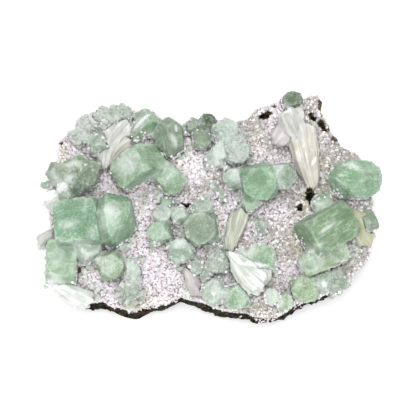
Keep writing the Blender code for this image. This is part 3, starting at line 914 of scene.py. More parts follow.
def round_lump() -> bpy.types.Mesh:
    """Model one grain, a small lump with flat faces and a diameter of one unit."""
    bm = bmesh.new()
    bmesh.ops.create_icosphere(bm, subdivisions=1, radius=0.5)
    for vert in bm.verts:
        vert.co *= 1.0 + 0.25 * noise.noise(vert.co * 5.0)
    return new_mesh("grain", bm)


def small_block() -> bpy.types.Mesh:
    """Model one tiny crystal, a block with two cut corners and a width of one unit."""
    bm = bmesh.new()
    bmesh.ops.create_cube(bm, size=0.9)
    for corner in (Vector((0.4, 0.4, 0.4)), Vector((-0.4, 0.4, -0.4))):
        whole = bm.verts[:] + bm.edges[:] + bm.faces[:]
        cut = bmesh.ops.bisect_plane(bm, geom=whole, plane_co=corner * 0.7, plane_no=corner,
                                     clear_outer=True)
        rim = [part for part in cut["geom_cut"] if isinstance(part, bmesh.types.BMEdge)]
        bmesh.ops.contextual_create(bm, geom=rim)
    bmesh.ops.recalc_face_normals(bm, faces=bm.faces)
    return new_mesh("block", bm)


# ---------------------------------------------------------------------------------------------
# The pieces


class Facet(Enum):
    """Kinds of face on a green crystal."""

    PRISM = 0
    BASAL = 1
    PYRAMID = 2
    HIDDEN = 3


@dataclass
class CrystalGroup:
    """Green crystals that grew together and are one solid.

    bevel is the width of the worn edges, and longest the longest mesh edge. warp and waviness
    are the depths of a face's broad and fine waves, chipping that of the chips along its edges,
    and crumble that of frost, which shrink keeps inside the solid. creep is how far the crust
    climbs the walls. All of these are in millimetres. Seams are relaxed knit times, over
    knit_rings rings of points.

    A face belongs to a crystal if it misses that crystal's own face by less than astray
    millimetres. It is basal or a prism's if the cosine of its angle to an axis is over flat, and
    a pyramid's if that to the long axis is within slanting. Faces that meet at more than
    edge_bend make a worn edge, at more than seam_bend a seam, and at more than crease a crease
    in the shading, all in radians.
    """

    node: str
    crystals: tuple
    slot: str = "apophyllite"
    bevel: float = 0.3
    longest: float = 0.8
    warp: float = 0.3
    waviness: float = 0.18
    chipping: float = 1.0
    crumble: float = 0.7
    creep: float = 4.5
    knit: int = 16
    knit_rings: int = 5
    shrink: float = 0.35
    flat: float = 0.97
    slanting: tuple = (0.3, 0.7)
    astray: float = 3.0
    edge_bend: float = 0.25
    seam_bend: float = 0.3
    crease: float = math.radians(13.0)

    def frames(self, bed: Bed) -> list:
        """Work out where each crystal's own axes lie.

        Args:
            bed: What the crystals stand on.

        Returns:
            One matrix for each crystal, from its own axes to the row frame.
        """
        found = []
        for crystal in self.crystals:
            x, y = crystal.x - PLAN_CENTRE[0], crystal.y - PLAN_CENTRE[1]
            middle = bed.foot(x, y)[0] + UP * crystal.rise * MM
            bearing = math.radians(crystal.bearing)
            turn = (
                Matrix.Rotation(bearing, 4, "Z")
                @ Matrix.Rotation(math.radians(crystal.lean), 4, "Y")
                @ Matrix.Rotation(math.radians(crystal.spin) - bearing, 4, "Z")
            )
            found.append(Matrix.Translation(middle) @ turn)
        return found

    def owner(self, face: bmesh.types.BMFace, inverses: list) -> tuple:
        """Find which crystal a face belongs to and which kind of face it is.

        Args:
            face: The face.
            inverses: For each crystal, the matrix from the row frame to its own axes.

        Returns:
            The crystal's index and the kind of face.
        """
        best = (self.astray, 0, Facet.HIDDEN)
        middle = face.calc_center_median()
        for index, (crystal, inverse) in enumerate(zip(self.crystals, inverses)):
            at = inverse @ middle / MM
            facing = (inverse.to_3x3() @ face.normal).normalized()
            half = (crystal.side / 2.0, crystal.side * crystal.broad / 2.0, crystal.length / 2.0)
            axis = max(range(3), key=lambda part: abs(facing[part]))
            if abs(facing[axis]) > self.flat:
                miss = abs(abs(at[axis]) - half[axis])
                kind = Facet.BASAL if axis == 2 else Facet.PRISM
            elif self.slanting[0] < abs(facing.z) < self.slanting[1]:
                reach = math.sin(PYRAMID_ANGLE) * (half[0] + half[1]) / math.sqrt(2.0)
                reach += math.cos(PYRAMID_ANGLE) * half[2] - crystal.cut * crystal.side
                miss = abs(facing.dot(at) - reach)
                kind = Facet.PYRAMID
            else:
                continue
            if miss < best[0]:
                best = (miss, index, kind)
        if best[2] is Facet.HIDDEN:
            nearest = min(
                range(len(inverses)),
                key=lambda index: (inverses[index] @ middle).length / self.crystals[index].side,
            )
            return nearest, Facet.HIDDEN
        return best[1], best[2]

    def mesh(self, bed: Bed, node: bpy.types.Object, chart: Chart) -> bmesh.types.BMesh:
        """Shape the group: facets with worn, chipped edges, grown together where crystals meet.

        Args:
            bed: What the crystals stand on.
            node: The group's solid.
            chart: The patches that look different.

        Returns:
            The mesh, with the attributes that the finish reads.
        """
        frames = self.frames(bed)
        inverses = [frame.inverted() for frame in frames]
        bm = merged_copy(node)
        bmesh.ops.dissolve_limit(bm, angle_limit=math.radians(1.5), verts=bm.verts, edges=bm.edges)
        layers = bm.faces.layers
        owner, facet, side = layers.int.new("owner"), layers.int.new("facet"), layers.int.new("side")
        for number, face in enumerate(bm.faces):
            index, kind = self.owner(face, inverses)
            face[owner], face[facet], face[side] = index, kind.value, number
        sharp = [
            edge for edge in bm.edges
            if edge.is_manifold and edge.calc_face_angle(0.0) > self.edge_bend
        ]
        bmesh.ops.bevel(bm, geom=sharp, offset=self.bevel * MM, affect="EDGES", segments=1,
                        profile=0.5, material=-1, clamp_overlap=True, offset_type="OFFSET")
        bmesh.ops.dissolve_degenerate(bm, dist=0.01 * MM, edges=bm.edges)
        refine(bm, self.longest)
        self.grow_together(bm)
        self.weather(bm, owner)
        self.describe(bm, inverses)
        chart.write(bm)
        return bm

    def grow_together(self, bm: bmesh.types.BMesh) -> None:
        """Round the hollow seams where two crystals meet, as if they had grown on."""
        seam_share = bm.verts.layers.float.new("seam")
        seam = {
            vert for edge in bm.edges
            if edge.is_manifold and not edge.is_convex
            and edge.calc_face_angle(0.0) > self.seam_bend
            for vert in edge.verts
        }
        for ring in range(self.knit_rings):
            for vert in seam:
                vert[seam_share] = max(vert[seam_share], 1.0 - ring / self.knit_rings)
            seam |= {edge.other_vert(vert) for vert in seam for edge in vert.link_edges}
        relax(bm, list(seam), self.knit)

    def weather(self, bm: bmesh.types.BMesh, owner: Any) -> None:
        """Warp the facets a little, chip the edges and roughen what is frosted.

        Args:
            bm: The mesh, in small faces.
            owner: The layer with each face's crystal.
        """
        edge_share = bm.verts.layers.float.new("edge")
        bm.normal_update()
        for vert in bm.verts:
            bends = [edge.calc_face_angle(0.0) for edge in vert.link_edges if edge.is_manifold]
            vert[edge_share] = min(1.0, max(bends, default=0.0) / 0.35)
        around = [
            max(edge.other_vert(vert)[edge_share] for edge in vert.link_edges) for vert in bm.verts
        ]
        for vert, beside in zip(bm.verts, around):
            vert[edge_share] = max(vert[edge_share], 0.55 * beside)
        for vert in bm.verts:
            at = vert.co / MM
            crystal = self.crystals[vert.link_faces[0][owner]]
            wave = noise.noise(at * 0.17) * self.warp + noise.noise(at * 0.5) * self.waviness
            chip = max(0.0, noise.noise(at * 0.6 + Vector((7.0, 3.0, 1.0))) - 0.05) * self.chipping
            chip += max(0.0, noise.noise(at * 1.6)) * 0.7 * self.chipping
            rough = (noise.noise(at * 0.9) + 0.6 * noise.noise(at * 2.0)) * self.crumble - self.shrink
            vert.co += vert.normal * (wave + rough * crystal.frost - chip * vert[edge_share]) * MM

    def describe(self, bm: bmesh.types.BMesh, inverses: list) -> None:
        """Write what the finish reads of each crystal onto the mesh.

        Args:
            bm: The mesh.
            inverses: For each crystal, the matrix from the row frame to its own axes.
        """
        owner, facet, side = (bm.faces.layers.int[name] for name in ("owner", "facet", "side"))
        tint = bm.loops.layers.float_color.new("tint")
        flow = bm.loops.layers.float_vector.new("flow")
        milk, frost = bm.faces.layers.float.new("milk"), bm.faces.layers.float.new("frost")
        pearl, shade = bm.faces.layers.float.new("pearl"), bm.faces.layers.float.new("shade")
        for face in bm.faces:
            crystal = self.crystals[face[owner]]
            face.smooth = True
            face[milk] = crystal.milk
            face[frost] = crystal.frost
            face[pearl] = 1.0 if Facet(face[facet]) is Facet.BASAL else 0.0
            # Painted facet shading: each facet gets its own random darkening, standing in for the light
            # that differs between facets.
            face[shade] = random.Random(face[side] * 7 + len(self.node)).random()
            apart = Vector((FLOW_APART * face[owner], 0.0, 0.0))
            for loop in face.loops:
                loop[tint] = crystal.tint.value
                loop[flow] = inverses[face[owner]] @ loop.vert.co / MM + apart
        for edge in bm.edges:
            edge.smooth = not edge.is_manifold or edge.calc_face_angle(0.0) < self.crease

    def overgrow(self, bm: bmesh.types.BMesh, bed: Bed, blocks: Growth, grains: Growth) -> None:
        """Let tiny crystals cover what is frosted, and grains creep up the foot of the walls.

        Args:
            bm: The finished mesh.
            bed: What the crystals stand on.
            blocks: The tiny crystals.
            grains: The crust's grains.
        """
        owner = bm.faces.layers.int["owner"]
        dice, white = blocks.dice, Tint.WHITISH.value
        bm.normal_update()
        for face in bm.faces:
            crystal = self.crystals[face[owner]]
            middle = face.calc_center_median()
            foot = bed.foot(middle.x / MM, middle.y / MM)[0]
            above = (middle.z - foot.z) / MM
            if above < -0.5 or face.normal.z < -0.6:
                continue
            area = face.calc_area() / MM ** 2
            creep = self.creep * (1.0 + 0.9 * noise.noise(middle / MM * 0.3))
            low = max(0.0, 1.0 - above / creep) if abs(face.normal.z) < 0.75 else 0.0
            pale = [0.5 * part + 0.5 * other for part, other in zip(crystal.tint.value, white)]
            if dice.random() < area * (max(0.0, crystal.frost - 0.4) * 0.9 + 0.25 * low):
                blocks.add(middle, face.normal, dice.uniform(0.7, 2.2), pale, 0.15)
            if dice.random() < 1.1 * low * area:
                grains.add(middle, face.normal, dice.uniform(0.8, 1.7), Tint.LILAC.value, 0.5)

    def build(self, bed: Bed, node: bpy.types.Object, material: bpy.types.Material, chart: Chart,
              blocks: Growth, grains: Growth) -> bpy.types.Object:
        """Make the finished group in the place of its solid.

        Args:
            bed: What the crystals stand on.
            node: The group's solid.
            material: Its finish.
            chart: The patches that look different.
            blocks: The tiny crystals, which get more.
            grains: The crust's grains, which get more.

        Returns:
            The new object.
        """
        bm = self.mesh(bed, node, chart)
        self.overgrow(bm, bed, blocks, grains)
        name = self.node.replace("apophyllite_", "crystals_")
        return make_piece(name, bm, material, [self.node])


@dataclass
class SheafCluster:
    """Pearly sheaves that grew together and are one solid.

    longest is the longest mesh edge, and rounds is how often the facets are smoothed. A sheaf
    widens with the spread_power of the way along it. The surface lies sink under its solid's,
    with lumps and with broad and fine grooves of the depths given. The ends are ragged and
    narrowing, and sway bends the blades sideways.
    """

    node: str
    sheaves: tuple
    longest: float = 0.55
    rounds: int = 14
    spread_power: float = 0.8
    sink: float = 0.1
    lump: float = 0.7
    broad_groove: float = 0.14
    fine_groove: float = 0.10
    ragged: float = 2.2
    narrowing: float = 0.4
    sway: float = 0.8

    def spine(self, sheaf: Sheaf, bed: Bed) -> Spine:
        """Find where a sheaf runs over the crust.

        Args:
            sheaf: The sheaf.
            bed: What it stands on.

        Returns:
            Its ends and directions.
        """
        ends = []
        for x, y, rise in (sheaf.start, sheaf.end):
            x, y = x - PLAN_CENTRE[0], y - PLAN_CENTRE[1]
            ends.append(Vector((x * MM, y * MM, bed.foot(x, y)[0].z + rise * MM)))
        ahead = (ends[1] - ends[0]).normalized()
        sideways = UP.cross(ahead).normalized()
        return Spine(ends[0], ends[1], ahead, sideways, ahead.cross(sideways))

    def lane(self, sheaf: Sheaf, spine: Spine, place: Vector) -> Vector:
        """Find where a place lies in a sheaf.

        Args:
            sheaf: The sheaf.
            spine: Where it runs.
            place: The place.

        Returns:
            Its share of the way to the end, of the half width and of the half thickness.
        """
        off = (place - spine.start) / MM
        way = off.dot(spine.ahead) / spine.length
        inside = min(1.0, max(0.0, way))
        reach = (sheaf.waist + (sheaf.spread - sheaf.waist) * inside ** self.spread_power) / 2.0
        across = (off.dot(spine.sideways) - 4.0 * sheaf.bow * inside * (1.0 - inside)) / reach
        return Vector((way, across, off.dot(spine.upward) / (sheaf.thick / 2.0)))

    def nearest(self, spines: list, place: Vector) -> tuple:
        """Find the sheaf that a place belongs to.

        Args:
            spines: Where each sheaf runs.
            place: The place.

        Returns:
            The sheaf's index and the place's lane in it.
        """
        def outside(found: tuple) -> float:
            """Tell how far a lane lies from the sheaf's middle."""
            way, across, over = found[1]
            return max(abs(across), abs(over)) + 3.0 * abs(way - min(1.0, max(0.0, way)))

        lanes = [self.lane(sheaf, spine, place) for sheaf, spine in zip(self.sheaves, spines)]
        return min(enumerate(lanes), key=outside)

    def shape(self, bm: bmesh.types.BMesh, spines: list) -> None:
        """Round the solid's facets, comb its sides into blades and fray its end.

        Args:
            bm: The merged copy of the solid.
            spines: Where each sheaf runs.
        """
        flow = bm.verts.layers.float_vector.new("flow")
        tint = bm.verts.layers.float_color.new("tint")
        refine(bm, self.longest)
        relax(bm, bm.verts, self.rounds)
        bm.normal_update()
        for vert in bm.verts:
            index, (way, across, over) = self.nearest(spines, vert.co)
            sheaf, spine = self.sheaves[index], spines[index]
            vert[flow] = (way * spine.length, across * sheaf.spread / 2.0, over + SHEAVES_APART * index)
            vert[tint] = sheaf.tint.value
            broad = noise.noise(Vector((way, across * 4.0, over * 0.4 + index))) * self.broad_groove
            fine = noise.noise(Vector((way * 1.5 + 11.0, across * 9.0, over * 0.6 + index)))
            lump = noise.noise(vert.co / MM * 0.2) * self.lump
            end, foot = min(1.0, max(0.0, way * 3.0 - 2.0)), min(1.0, max(0.0, 1.0 - way * 4.0))
            fray = noise.noise(Vector((3.0, across * 3.0, over + index))) * self.ragged * (end - foot)
            inward = across * (sheaf.spread * end ** 2 + sheaf.waist * foot ** 2) / 2.0 * self.narrowing
            sway = noise.noise(Vector((way * 2.0, 5.0, index))) * self.sway
            vert.co += vert.normal * (broad + fine * self.fine_groove + lump - self.sink) * MM
            vert.co += (spine.ahead * fray + spine.sideways * (sway - inward)) * MM

    def build(self, bed: Bed, node: bpy.types.Object, material: bpy.types.Material,
              chart: Chart) -> bpy.types.Object:
        """Make the finished cluster in the place of its solid.

        Args:
            bed: What it stands on.
            node: Its solid.
            material: Its finish.
            chart: The patches that look different.

        Returns:
            The new object.
        """
        bm = merged_copy(node)
        self.shape(bm, [self.spine(sheaf, bed) for sheaf in self.sheaves])
        for face in bm.faces:
            face.smooth = True
        chart.write(bm)
        name = self.node.replace("stilbite_", "blades_")
        return make_piece(name, bm, material, [self.node])


@dataclass(frozen=True)
class GrainSize:
    """One size of grain: how far apart they stand and how large they are."""

    spacing: float
    across: float


@dataclass
class DrusyCrust:
    """The sparkling crust: a lumpy skin and thousands of small grains on it.

    The skin lies sink under its solid's top, with lumps of the depth lump and lump_span apart.
    Near the green crystals, in a fringe, tiny crystals take the grains' place. reach is half the
    length and half the width that the grains are scattered over, row_step the distance of their
    rows as a share of their spacing, and greyer_by the way along X to fully grey grains.
    """

    chart: Chart
    node: str = "drusy_crust"
    sizes: tuple = (GrainSize(1.6, 1.75), GrainSize(1.15, 1.05))
    sink: float = 0.8
    longest: float = 1.1
    lump_span: float = 1.6
    lump: float = 0.4
    fringe: float = 4.5
    reach: tuple = (72.0, 49.0)
    greyer_by: float = 55.0
    row_step: float = 0.87

    @property
    def pale(self) -> list:
        """The patches where the grains are nearly white: pale crust, and in places painted light over
        crust that the crystals shade.
        """
        return [patch for patch in self.chart.patches if patch.mark is Mark.PALE_BED]

    def skin(self, node: bpy.types.Object, material: bpy.types.Material,
             grains: Growth) -> bpy.types.Object:
        """Make the crust's own body, lowered so that the grains' tips reach its solid's top.

        Args:
            node: The crust's solid.
            material: Its finish.
            grains: The grains, which get those of the steep rim.

        Returns:
            The new object.
        """
        bm = merged_copy(node)
        refine(bm, self.longest, faces_wanted=lambda face: face.normal.z > -0.2)
        refine(bm, 3.0)
        bm.normal_update()
        dice = grains.dice
        for face in bm.faces:
            if -0.4 < face.normal.z < 0.6 and dice.random() < 0.9 * face.calc_area() / MM ** 2:
                middle = face.calc_center_median()
                if self.chart.bareness(middle.x / MM, middle.y / MM) < 0.3:
                    grains.add(middle, face.normal, dice.uniform(0.7, 1.5), self.tint(middle))
        bare = bm.verts.layers.float.new("bare")
        for vert in bm.verts:
            at = vert.co / MM
            top = max(0.0, vert.normal.z)
            vert[bare] = self.chart.bareness(at.x, at.y)
            lump = (0.35 - noise.voronoi(at / self.lump_span)[0][0]) * self.lump
            rough = noise.noise(at * 1.3) * 0.2
            sunk = (self.sink + 0.6 * vert[bare]) * top + 0.3 * (1.0 - top)
            vert.co += vert.normal * (lump + rough - sunk) * MM
        return make_piece("druse_skin", bm, material, [self.node])

    def tint(self, place: Vector) -> tuple:
        """Choose a grain's colour: lilac white, greyer to the right, warmer in stretches, and nearly
        white in the pale patches, which partly paint light in.
        """
        at = place / MM
        warm = min(1.0, max(0.0, noise.noise(at * 0.06 + Vector((3.0, 8.0, 0.0))) * 2.0))
        grey = noise.noise(at * 0.09 + Vector((9.0, 1.0, 0.0))) * 2.0 + at.x / self.greyer_by
        grey = min(1.0, max(0.0, grey))
        # Pale patches: pale crust, and in places painted light over crust that the crystals shade.
        pale = strongest(self.pale, at.x, at.y)
        tints = (Tint.LILAC, Tint.WARM_WHITE, Tint.DUST_GREY, Tint.FROST_WHITE)
        return tuple(
            base + (cream - base) * warm * 0.6 + (dust - base) * grey * 0.8 + (white - base) * pale
            for base, cream, dust, white in zip(*(tint.value for tint in tints)))

    def cover(self, bed: Bed, size: GrainSize, grains: Growth, blocks: Growth) -> None:
        """Scatter grains of one size over the open crust.

        Args:
            bed: The crust and what stands on it.
            size: How large they are and how far apart they stand.
            grains: The grains, which get more.
            blocks: The tiny crystals, which get those near the green crystals' feet.
        """
        dice = grains.dice
        rows = round(self.reach[1] / (size.spacing * self.row_step))
        columns = round(self.reach[0] / size.spacing)
        for row in range(-rows, rows + 1):
            for column in range(-columns, columns + 1):
                x = (column + 0.5 * (row % 2) + dice.uniform(-0.4, 0.4)) * size.spacing
                y = (row * self.row_step + dice.uniform(-0.35, 0.35)) * size.spacing
                place, normal, _, _ = bed.crust.ray_cast(Vector((x * MM, y * MM, OVER_ALL)), -UP)
                if place is None or self.chart.bareness(x, y) > 0.5 or bed.covered(place):
                    continue
                clump = noise.noise(Vector((x, y, 0.0)) * 0.22)
                across = size.across * (0.7 + 0.5 * dice.random() ** 2 + 0.4 * max(0.0, clump))
                gap = bed.standing.find_nearest(place)[3] / MM
                pale = strongest(self.pale, x, y)
                near = noise.noise(Vector((x, y, 5.0)) * 0.15) + 0.25 - gap / self.fringe - pale
                if dice.random() < near:
                    blocks.add(place, normal, across * 1.3, Tint.FRINGE.value, 0.6)
                else:
                    grains.add(place, normal, across, self.tint(place), 0.1 - dice.uniform(0.0, 0.35))


@dataclass
class BasaltSlab:
    """The dark slab of rock under the crust.

    longest is the longest mesh edge on its walls, rough how deep they are broken, and crusted
    the height over the back from which grains hang over them.
    """

    node: str = "basalt_matrix"
    longest: float = 1.3
    rough: float = 2.0
    crusted: float = 10.5

    def build(self, node: bpy.types.Object, material: bpy.types.Material,
              grains: Growth) -> bpy.types.Object:
        """Make the broken rock in the place of its solid.

        Args:
            node: Its solid.
            material: Its finish.
            grains: The crust's grains, which get those that hang over the rock's walls.

        Returns:
            The new object.
        """
        bm = merged_copy(node)
        refine(bm, self.longest, faces_wanted=lambda face: abs(face.normal.z) < 0.8)
        refine(bm, 4.0)
        bm.normal_update()
        for vert in bm.verts:
            at = vert.co / MM
            side = 1.0 - abs(vert.normal.z)
            lumps = noise.noise(at * 0.35) * 0.6 + noise.noise(at * 0.9) * 0.35
            lumps += noise.noise(at * 2.1) * 0.4
            push = vert.normal * (lumps - 0.5) * self.rough * side * MM
            vert.co += push if vert.co.z > 0.5 * MM else Vector((push.x, push.y, 0.0))
        bm.normal_update()
        dice = grains.dice
        for face in bm.faces:
            middle = face.calc_center_median()
            at = middle / MM
            start = self.crusted + 5.0 * noise.noise(at * 0.12) + 3.0 * noise.noise(at * 0.5)
            area = face.calc_area() / MM ** 2
            if abs(face.normal.z) < 0.8 and at.z > start and dice.random() < 1.3 * area:
                grains.add(middle, face.normal, dice.uniform(0.6, 1.3), Tint.LILAC.value, 0.3)
        return make_piece("rock", bm, material, [self.node])


@dataclass(frozen=True)
class Lamp:
    """A square lamp: its place and side in metres, and its power in watts."""

    name: str
    place: tuple
    side: float
    power: float


@dataclass
class Studio:
    """Camera, soft light and a pale floor.

    The camera stands elevation degrees over the floor, distance metres from target, which is in
    millimetres. The picture is frame_width metres and frame_pixels pixels wide there, and shows
    target at target_pixel. clip is how near and how far the camera sees, and floor_reach half the
    floor's side, in metres. ambient is how bright the surroundings are.
    """

    elevation: float = 77.0
    distance: float = 0.8
    frame_width: float = 0.1664
    sensor: float = 36.0
    target: tuple = (-0.15, -0.6, 20.0)
    frame_pixels: int = 416
    target_pixel: tuple = (208.0, 206.5)
    clip: tuple = (0.01, 20.0)
    floor_reach: float = 4.0
    ambient: float = 0.66
    lamps: tuple = (
        Lamp("overhead", (-0.05, -0.15, 1.2), 0.8, 7.6),
        Lamp("key", (-0.05, 0.5, 1.0), 0.7, 1.9),
        Lamp("fill", (0.3, -0.9, 0.7), 0.9, 3.4),
        Lamp("glint", (-0.20, 0.34, 0.9), 0.05, 1.2),
    )

    def camera(self) -> None:
        """Stand the camera over the specimen, tipped a little towards its front."""
        data = bpy.data.cameras.new("camera")
        data.sensor_width = self.sensor
        data.lens = self.sensor * self.distance / self.frame_width
        data.clip_start, data.clip_end = self.clip
        camera = new_object("camera", data)
        tip = math.radians(self.elevation)
        back = Vector((0.0, -math.cos(tip), math.sin(tip)))
        picture_up = Vector((0.0, math.sin(tip), math.cos(tip)))
        middle = self.frame_pixels / 2.0
        pixel = self.frame_width / self.frame_pixels
        aim = Vector(self.target) * MM
        aim += picture_up * (self.target_pixel[1] - middle) * pixel
        aim += Vector((1.0, 0.0, 0.0)) * (middle - self.target_pixel[0]) * pixel
        camera.location = aim + back * self.distance
        camera.rotation_euler = back.to_track_quat("Z", "Y").to_euler()
        bpy.context.scene.camera = camera

    def light(self) -> None:
        """Hang the lamps and light the surroundings."""
        world = bpy.data.worlds.new("surroundings")
        world.use_nodes = True
        around = world.node_tree.nodes["Background"].inputs
        around["Color"].default_value = (1.0, 1.0, 1.0, 1.0)
        around["Strength"].default_value = self.ambient
        bpy.context.scene.world = world
        for lamp in self.lamps:
            data = bpy.data.lights.new(lamp.name, "AREA")
            data.size = lamp.side
            data.energy = lamp.power
            hung = new_object(lamp.name, data)
            hung.location = lamp.place
            hung.rotation_euler = Vector(lamp.place).to_track_quat("Z", "Y").to_euler()
        bpy.context.scene.view_settings.view_transform = "Standard"
        bpy.context.scene.view_settings.look = "None"

    def floor(self) -> None:
        """Lay the floor under the slab."""
        bm = bmesh.new()
        bmesh.ops.create_grid(bm, x_segments=1, y_segments=1, size=self.floor_reach)
        mesh = new_mesh("floor", bm)
        mesh.materials.append(FloorFinish("floor_pale").make())
        new_object("floor", mesh)

    def build(self) -> None:
        """Set up everything around the specimen."""
        self.camera()
        self.light()
        self.floor()
        log.info("studio ready")


BARE, WHITE, DEEP, GLINT, PALE_BED = Mark
PATCHES = (
    Patch(BARE, 40.9, 4.0, 3.7, 1.9, 95), Patch(BARE, 36.6, -1.2, 1.6, 1.5),
    Patch(BARE, -9.5, -0.4, 3.2, 1.2, -5),
    Patch(BARE, 23.0, 38.2, 2.7, 1.5, 15), Patch(BARE, 26.5, 42.3, 1.2, 1.0, 60),
    Patch(BARE, 42.3, 36.8, 2.2, 1.3, -50), Patch(BARE, 46.8, 33.4, 3.4, 1.6, -50),
    Patch(BARE, 51.2, 28.2, 1.8, 1.0, -40), Patch(BARE, 46.0, 42.4, 3.8, 1.3, 98),
    Patch(BARE, -51.6, -27.0, 1.6, 1.2, 70), Patch(BARE, -33.8, 25.6, 1.2, 0.7, 10),
    Patch(BARE, 50.2, -24.6, 3.2, 0.8, 10), Patch(BARE, -54.2, 29.6, 1.0, 0.7, 40),
    Patch(BARE, -60.0, 26.5, 1.2, 0.8, 60),
    # Pale crust, painted nearly white; the first patch, beside the left group, is painted light over
    # crust that its crystals shade.
    Patch(PALE_BED, -27.0, -4.0, 12.0, 5.0, 85, 0.9),
    Patch(PALE_BED, -6.0, 16.0, 9.0, 8.0, -30, 0.5), Patch(PALE_BED, -35.0, 24.0, 6.0, 3.0, 0, 0.8),
    # Left group.
    Patch(DEEP, -53.2, -3.0, 6.0, 2.0, 0, 0.7), Patch(WHITE, -54.5, -10.5, 4.5, 2.6, 10, 0.6),
    Patch(DEEP, -60.0, -7.0, 4.0, 1.6, 90, 0.5), Patch(DEEP, -34.5, 1.2, 5.5, 3.2, -20, 1.0),
    Patch(WHITE, -38.5, -6.4, 6.0, 4.6, 60, 1.0), Patch(DEEP, -32.0, -11.5, 5.5, 1.6, 80, 0.6),
    Patch(WHITE, -49.0, -22.4, 5.0, 3.0, 0, 0.7), Patch(WHITE, -59.5, -16.6, 3.5, 1.2, 0, 0.5),
    Patch(WHITE, -43.5, -23.5, 2.6, 4.0, 0, 0.9), Patch(DEEP, -50.0, -14.5, 4.0, 1.4, -60, 0.5),
    Patch(WHITE, -60.0, -24.0, 5.0, 5.0, 0, 0.4), Patch(WHITE, -50.5, -18.0, 8.0, 1.6, 0, 0.5),
    Patch(WHITE, -38.5, -27.0, 4.0, 3.0, 20, 0.7),
    # Upper left group.
    Patch(WHITE, -54.0, 13.5, 4.0, 2.4, 10, 0.9), Patch(WHITE, -54.4, 7.6, 3.4, 2.0, -40, 0.9),
    Patch(DEEP, -50.0, 8.0, 4.5, 2.0, 50, 0.9),
    # Main block and the crystal beside it.
    Patch(WHITE, -31.5, 14.0, 5.5, 4.5, 120, 1.0), Patch(DEEP, -23.0, 18.0, 4.0, 2.4, 120, 0.4),
    Patch(DEEP, -37.0, 9.5, 2.5, 1.0, 130, 0.5), Patch(WHITE, -15.5, 10.0, 5.0, 2.5, 40, 0.5),
    # Standing prism and the pair beside it.
    Patch(DEEP, -17.2, 31.0, 2.6, 1.8, 0, 0.9), Patch(WHITE, -14.0, 25.0, 3.5, 1.6, 100, 0.6),
    # Centre right group.
    Patch(WHITE, 10.5, 11.5, 4.0, 2.6, 60, 0.7), Patch(DEEP, 19.5, 8.0, 4.0, 3.0, 0, 0.6),
    # Right edge crystal.
    Patch(WHITE, 57.0, 14.0, 6.0, 1.6, -25, 0.8), Patch(DEEP, 63.5, 7.5, 3.0, 3.0, 0, 0.7),
    # Right group.
    Patch(WHITE, 44.5, -1.0, 5.0, 1.5, -30, 0.9), Patch(DEEP, 54.0, -7.0, 5.0, 2.0, 45, 0.9),
    Patch(WHITE, 47.0, -12.0, 6.0, 0.9, 40, 0.9), Patch(WHITE, 42.0, -19.5, 7.0, 2.0, 25, 0.4),
    # Centre groups.
    Patch(DEEP, 2.0, -8.0, 2.6, 3.6, 0, 0.7), Patch(WHITE, -4.0, -6.0, 3.0, 1.4, -40, 0.4),
    Patch(WHITE, -11.5, -17.5, 3.0, 2.2, 30, 0.9), Patch(DEEP, -8.5, -22.0, 2.6, 1.8, 0, 0.7),
    Patch(WHITE, 15.5, -19.5, 4.5, 3.0, 10, 0.8), Patch(DEEP, 24.5, -19.5, 3.0, 2.5, 0, 0.6),
    Patch(DEEP, 8.5, -33.0, 2.4, 2.0, 0, 0.8), Patch(WHITE, 3.0, -36.5, 2.0, 2.4, 20, 0.9),
    # Sheaves.
    Patch(WHITE, 31.5, 39.0, 4.0, 2.5, -60, 0.8), Patch(DEEP, 35.5, 31.0, 4.0, 1.0, -60, 0.5),
    Patch(WHITE, -28.0, 33.0, 6.0, 3.0, 40, 0.9), Patch(DEEP, 12.5, -2.0, 4.0, 1.2, 20, 0.4),
    Patch(WHITE, 18.5, -31.0, 7.0, 5.0, 40, 0.7), Patch(WHITE, -58.0, -33.0, 7.0, 2.0, -35, 0.9),
    # Painted glints: bright reflections painted into the colour.
    Patch(GLINT, -48.8, 14.0, 0.7, 0.4, 60), Patch(GLINT, -12.8, 29.0, 1.4, 0.6, 100),
    Patch(GLINT, 8.0, 15.6, 2.2, 0.9, 55), Patch(GLINT, 38.6, 24.5, 1.8, 0.5, 68),
    Patch(GLINT, 42.2, 17.0, 1.9, 0.7, 65), Patch(GLINT, 31.4, 37.0, 1.6, 0.9, -60),
    Patch(GLINT, 40.5, -20.5, 1.8, 0.6, 30), Patch(GLINT, 43.5, -22.5, 1.4, 0.4, 30),
    Patch(GLINT, 45.5, -33.0, 1.2, 1.0, 0), Patch(GLINT, 2.0, -37.0, 1.4, 0.5, -30),
    Patch(GLINT, 54.5, 14.5, 1.2, 0.3, -25), Patch(GLINT, -64.5, 4.0, 4.5, 2.0, 10),
    Patch(GLINT, -59.0, 5.5, 3.0, 2.0, 0), Patch(GLINT, -27.0, 33.0, 5.0, 0.8, 40),
    Patch(GLINT, -60.5, -33.5, 3.5, 1.0, -35), Patch(GLINT, 11.0, -23.0, 4.5, 0.9, -45),
    Patch(GLINT, 20.0, -26.0, 5.5, 1.2, -12),
)

